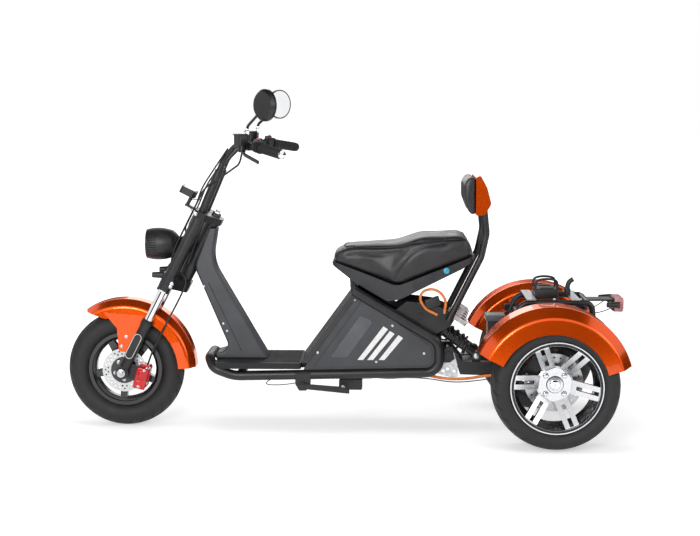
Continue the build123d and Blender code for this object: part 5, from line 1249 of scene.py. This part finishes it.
# %% Deck ribs and side lines
DECK_RIBS = 13
RIB_PITCH = 18
RIB_START = 0.158
RIB_END_BY_COLUMN = 0.283
RIB_END_BESIDE_COLUMN = 0.46
COLUMN_HALF_W = 0.066
bm = bmesh.new()
for rib in range(DECK_RIBS):
    y = (rib - DECK_RIBS // 2) * RIB_PITCH * MM
    rib_end = RIB_END_BY_COLUMN if abs(y) < COLUMN_HALF_W else RIB_END_BESIDE_COLUMN
    middle = Vector(((RIB_START + rib_end) / 2, y, 0.2626))
    add_box(bm, middle, (rib_end - RIB_START, 0.008, 0.0016), None, 0.0005)
for side in SIDES:
    for z in (258, 250, 243):
        add_box(bm, mm(312, side * 138.2, z), (0.296, 0.0018, 0.003), None, 0.0006)
finish_piece(bm, "deck_ribs", "chassis", soft_rubber)
print("covers and deck done")

# %% [markdown]
# ### Wheels
# Four lug nuts hold each rear wheel, and a cap closes its centre. A thin black ring lies between
# the spokes and the bare lip, where the lathe stops.

# %% Lug nuts, hub caps and rings
LUG_NUTS = 4
LUG_REACH = 46 * MM
HUB_FACE_REACH = 30
LIP_FACE_REACH = 157
LIP_BLACK = (150.5, 159.0)
for side, sign in (("left", 1), ("right", -1)):
    skin = skin_of(f"rear_rim_{side}")
    hub = Vector(WHEEL_CENTRES[f"rear_{side}"])
    out = LEFT * sign
    nuts = bmesh.new()
    black = bmesh.new()
    for turn in range(LUG_NUTS):
        way = Matrix.Rotation(math.tau * (turn + 0.5) / LUG_NUTS, 4, "Y") @ Vector((LUG_REACH, 0, 0))
        hit = skin.ray_cast(hub + way + out * 0.3, -out)[0]
        add_bar(nuts, hit - out * 2 * MM, hit + out * 11 * MM, 9 * MM, 6, 1 * MM)
        add_bar(nuts, hit + out * 11 * MM, hit + out * 14 * MM, 7 * MM, 24, 1.4 * MM)
        add_bar(black, hit - out * 2 * MM, hit + out * 1 * MM, 12 * MM, 24, 0.5 * MM)
    hub_face = skin.ray_cast(hub + mm(HUB_FACE_REACH, 0, 0) + out * 0.3, -out)[0]
    cap = Vector((hub.x, hub_face.y, hub.z))
    add_bar(nuts, cap - out * 2 * MM, cap + out * 3 * MM, 27 * MM, 48, 1.5 * MM)
    add_bar(nuts, cap + out * 3 * MM, cap + out * 6 * MM, 21 * MM, 48, 1.5 * MM, 17 * MM)
    lip = skin.ray_cast(hub + mm(0, 0, LIP_FACE_REACH) + out * 0.3, -out)[0]
    inner, outer = LIP_BLACK
    corners = [(inner, -1.0), (outer, -1.0), (outer, 0.4), (inner, 0.4)]
    ring = [black.verts.new(Vector((hub.x, lip.y + sign * y * MM, hub.z + r * MM))) for r, y in corners]
    loop = [black.edges.new((ring[i], ring[(i + 1) % 4])) for i in range(4)]
    bmesh.ops.spin(
        black, geom=ring + loop, cent=hub, axis=(0, 1, 0), angle=math.tau, steps=120, use_merge=True
    )
    finish_piece(nuts, f"rear_lug_nuts_{side}", f"rear_wheel_{side}", chrome)
    finish_piece(black, f"rear_wheel_trim_{side}", f"rear_wheel_{side}", box_abs)
    print("rear wheel", side, "hub face at y", round(hub_face.y / MM, 1), "mm")

# %% [markdown]
# The front caliper's outer half is a red casting with rounded shoulders, two bolts and a bleed
# nipple. It lies on the fork's lug, where a ray from the side finds the surface.

# %% Caliper's outer half
CALIPER_TILT = Matrix.Rotation(math.radians(-14), 4, "Y")
CALIPER_BLOCKS = (
    # x, out from the lug, z, size, rounding
    (751.5, 4, 193, (0.046, 0.016, 0.082), 6),
    (745.5, 7, 207, (0.03, 0.016, 0.034), 5),
    (758.5, 7, 176, (0.03, 0.014, 0.022), 5),
)
lug_y = line_on(skin_of("fork_legs"), [(752, 205)], 1)[0].y / MM
bm = bmesh.new()
for x, out_y, z, size, rounding in CALIPER_BLOCKS:
    add_box(bm, mm(x, lug_y + out_y, z), size, CALIPER_TILT, rounding * MM)
finish_piece(bm, "caliper_outer_half", "steering", red_paint)
bm = bmesh.new()
for x, z in ((737, 222), (760, 164)):
    add_bolt(bm, mm(x, lug_y + 12, z), LEFT, 8 * MM)
add_bar(bm, mm(722, lug_y + 6, 228), mm(714, lug_y + 6, 236), 3.4 * MM, 12, 0.6 * MM)
finish_piece(bm, "caliper_outer_bolts", "steering", zinc)
print("caliper laid on the lug at", round(lug_y, 1), "mm")

# %% [markdown]
# ### Wiring
# Orange silicone marks the high-voltage leads that run from the seat box past the swing arm to the
# motor. Their plug is a moulded block with a latch. The thin black wires serve lamps and sensors,
# and a corrugated sleeve guards those that run down beside the column.

# %% Leads and wires
MOTOR_LEAD = [(-236, 232), (-320, 212), (-394, 200), (-470, 203), (-523, 214)]
MOTOR_LEAD_END = (-600, 216)
SENSOR_WIRE = [(-80, 212), (-147, 200), (-240, 207), (-319, 203), (-400, 189), (-480, 193), (-560, 206)]
STAND_WIRE = [(150, 196), (174, 188), (229, 182), (272, 182), (283, 190), (265, 201)]
bm = bmesh.new()
for y, drop in ((104, 0), (92, 4)):
    route = [(x, z - drop) for x, z in MOTOR_LEAD] + [MOTOR_LEAD_END]
    add_route(bm, [mm(x, y, z) for x, z in route], 4.6 * MM)
finish_piece(bm, "motor_leads", "chassis", cable_orange)

bm = bmesh.new()
add_route(bm, [mm(x, 112, z) for x, z in SENSOR_WIRE], 2.0 * MM)
add_route(bm, [mm(x, 142, z) for x, z in STAND_WIRE], 1.7 * MM)
for y in (84, -84):
    tail_wire = [mm(-990, y * 1.1, 470), mm(-970, y, 456), mm(-930, y * 0.7, 440), mm(-900, y * 0.4, 438)]
    add_route(bm, tail_wire, 1.8 * MM)
finish_piece(bm, "sensor_wires", "chassis", cable_black)

# %% Front wires and the corrugated sleeve
SLEEVE_RINGS = 28
SLEEVE_PITCH = 6
sleeve_low = fork_at(-34, 56, 470)
sleeve_high = fork_at(-14, 56, 640)
sleeve_way = (sleeve_high - sleeve_low).normalized()
bm = bmesh.new()
for y in (84, -84):
    lamp_wire = [mm(680, y, 575), mm(664, y * 0.8, 590), mm(640, y * 0.55, 622), mm(628, y * 0.2, 640)]
    add_route(bm, lamp_wire, 1.8 * MM)
display_wire = [fork_at(28, 30, 700), fork_at(62, 44, 690), fork_at(60, 46, 660), fork_at(24, 40, 640)]
add_route(bm, display_wire, 1.4 * MM)
add_bar(bm, sleeve_low, sleeve_high, 5.4 * MM, 16)
for ring in range(SLEEVE_RINGS):
    at = sleeve_low + sleeve_way * (3 + ring * SLEEVE_PITCH) * MM
    add_bar(bm, at, at + sleeve_way * 3 * MM, 7 * MM, 20, 0.8 * MM)
finish_piece(bm, "front_wires", "steering", cable_black)

# %% Plug and relay lid
PLUG_TURN = Matrix.Rotation(math.radians(18), 4, "Y")
bm = bmesh.new()
add_box(bm, mm(-331, 115, 487), (0.054, 0.026, 0.034), PLUG_TURN, 0.003)
add_box(bm, mm(-333, 129, 489), (0.03, 0.005, 0.014), PLUG_TURN, 0.0015)
finish_piece(bm, "power_plug", "chassis", box_abs)

low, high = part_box("relay_box")
middle = (low + high) / 2
bm = bmesh.new()
lid_place = Vector((middle.x, middle.y, high.z - 9 * MM))
add_box(bm, lid_place, (high.x - low.x + 0.003, high.y - low.y + 0.003, 0.022), None, 0.003)
finish_piece(bm, "relay_lid", "chassis", panel_grey)
print("wiring done")

# %% [markdown]
# Screws hold the controller to the frame, and bolts go through the eyes of the dampers and the
# side stand's bracket.

# %% Rear frame bolts
low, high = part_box("controller")
controller_skin = skin_of("controller")
bm = bmesh.new()
for share_x in (0.12, 0.88):
    for y in (low.y, high.y):
        out = LEFT if y > 0 else -LEFT
        for share_z in (0.2, 0.8):
            x = low.x + (high.x - low.x) * share_x
            z = low.z + (high.z - low.z) * share_z
            hit = controller_skin.ray_cast(Vector((x, y, z)) + out * 0.1, -out)[0]
            if hit:
                add_bar(bm, hit - out * 2 * MM, hit + out * 2.4 * MM, 4.4 * MM, 20, 0.6 * MM)
for side in SIDES:
    for eye in (SHOCK_TOP, SHOCK_FOOT):
        add_bolt(bm, eye + LEFT * side * 90 * MM, LEFT * side, 13 * MM)
add_bolt(bm, mm(-4, 150, 176), LEFT, 9 * MM)
finish_piece(bm, "rear_frame_bolts", "chassis", zinc)

# %% [markdown]
# ### Rack and tail
# A moulded handle sits on the rack, with two loops and a hook for an elastic cord. Six bolts stand
# in two rows along the sides of the rack.

# %% Rack handle and bolts
HANDLE_LOOP = [(-712, 524), (-711, 552), (-722, 562), (-753, 566), (-784, 562), (-794, 552), (-793, 524)]
CORD_HOOK = [(-834, 520), (-836, 544), (-848, 556), (-856, 560)]
bm = bmesh.new()
add_box(bm, mm(-753, 0, 512), (0.086, 0.13, 0.036), None, 0.006)
for y in (42, -42):
    add_box(bm, mm(-753, y, 524), (0.05, 0.022, 0.02), None, 0.004)
add_box(bm, mm(-834, 0, 512), (0.02, 0.05, 0.034), None, 0.004)
for y in (42, -42):
    add_route(bm, [mm(x, y, z) for x, z in HANDLE_LOOP], 4.4 * MM)
add_route(bm, [mm(x, 0, z) for x, z in CORD_HOOK], 9 * MM)
finish_piece(bm, "rack_handle", "chassis", box_abs)

bm = bmesh.new()
for x in (-775, -870, -690):
    for y in (104, -104):
        add_bolt(bm, mm(x, y, 497.5), UPRIGHT, 8 * MM)
finish_piece(bm, "rack_wire", "chassis", zinc)

# %% [markdown]
# ### Seat lock, tail lamp and charge box
# The saddle's lock has a blue cap. Seven cross ribs show in the tail lamp. The charge box has a
# round socket cover and a bracket with two bolts.

# %% Lock cap, lamp ribs and charge fittings
blue_cap = worn_finish(
    "abs_moulded_blue", "#3aa6c8", 0.3, ("#3098ba", "#48b2d2"), 8, (0.26, 0.36), 0.8, 0.02
)
lock = line_on(skin_of("seat_pan"), [(-379, 607)], 1)[0]
bm = bmesh.new()
add_bar(bm, lock - LEFT * 3 * MM, lock + LEFT * 3 * MM, 11 * MM, 32, 1.5 * MM)
finish_piece(bm, "seat_lock_cap", "seat", blue_cap)
print("lock at", [round(v, 3) for v in lock])

LAMP_RIBS = 7
low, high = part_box("tail_lamp")
bm = bmesh.new()
for step in range(LAMP_RIBS):
    z = low.z + (high.z - low.z) * (step + 0.5) / LAMP_RIBS
    rib_place = Vector((low.x + 7 * MM, (low.y + high.y) / 2, z))
    add_box(bm, rib_place, (0.012, high.y - low.y - 0.012, 0.0022), None, 0.0008)
finish_piece(bm, "tail_lamp_ribs", "chassis", red_paint)

low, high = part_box("charge_box")
middle = (low + high) / 2
socket = Vector((middle.x, high.y, middle.z))
bm = bmesh.new()
add_bar(bm, socket - LEFT * 2 * MM, socket + LEFT * 3 * MM, 12 * MM, 32, 1 * MM)
finish_piece(bm, "charge_socket_cover", "chassis", soft_rubber)

bracket_z = middle.z + 12 * MM
bm = bmesh.new()
add_box(bm, Vector((low.x - 18 * MM, high.y - 12 * MM, bracket_z)), (0.034, 0.006, 0.03), None, 0.001)
for x in (-28, -10):
    add_bolt(bm, Vector((low.x + x * MM, high.y - 9 * MM, bracket_z)), LEFT, 7 * MM)
finish_piece(bm, "charge_box_bracket", "chassis", zinc)
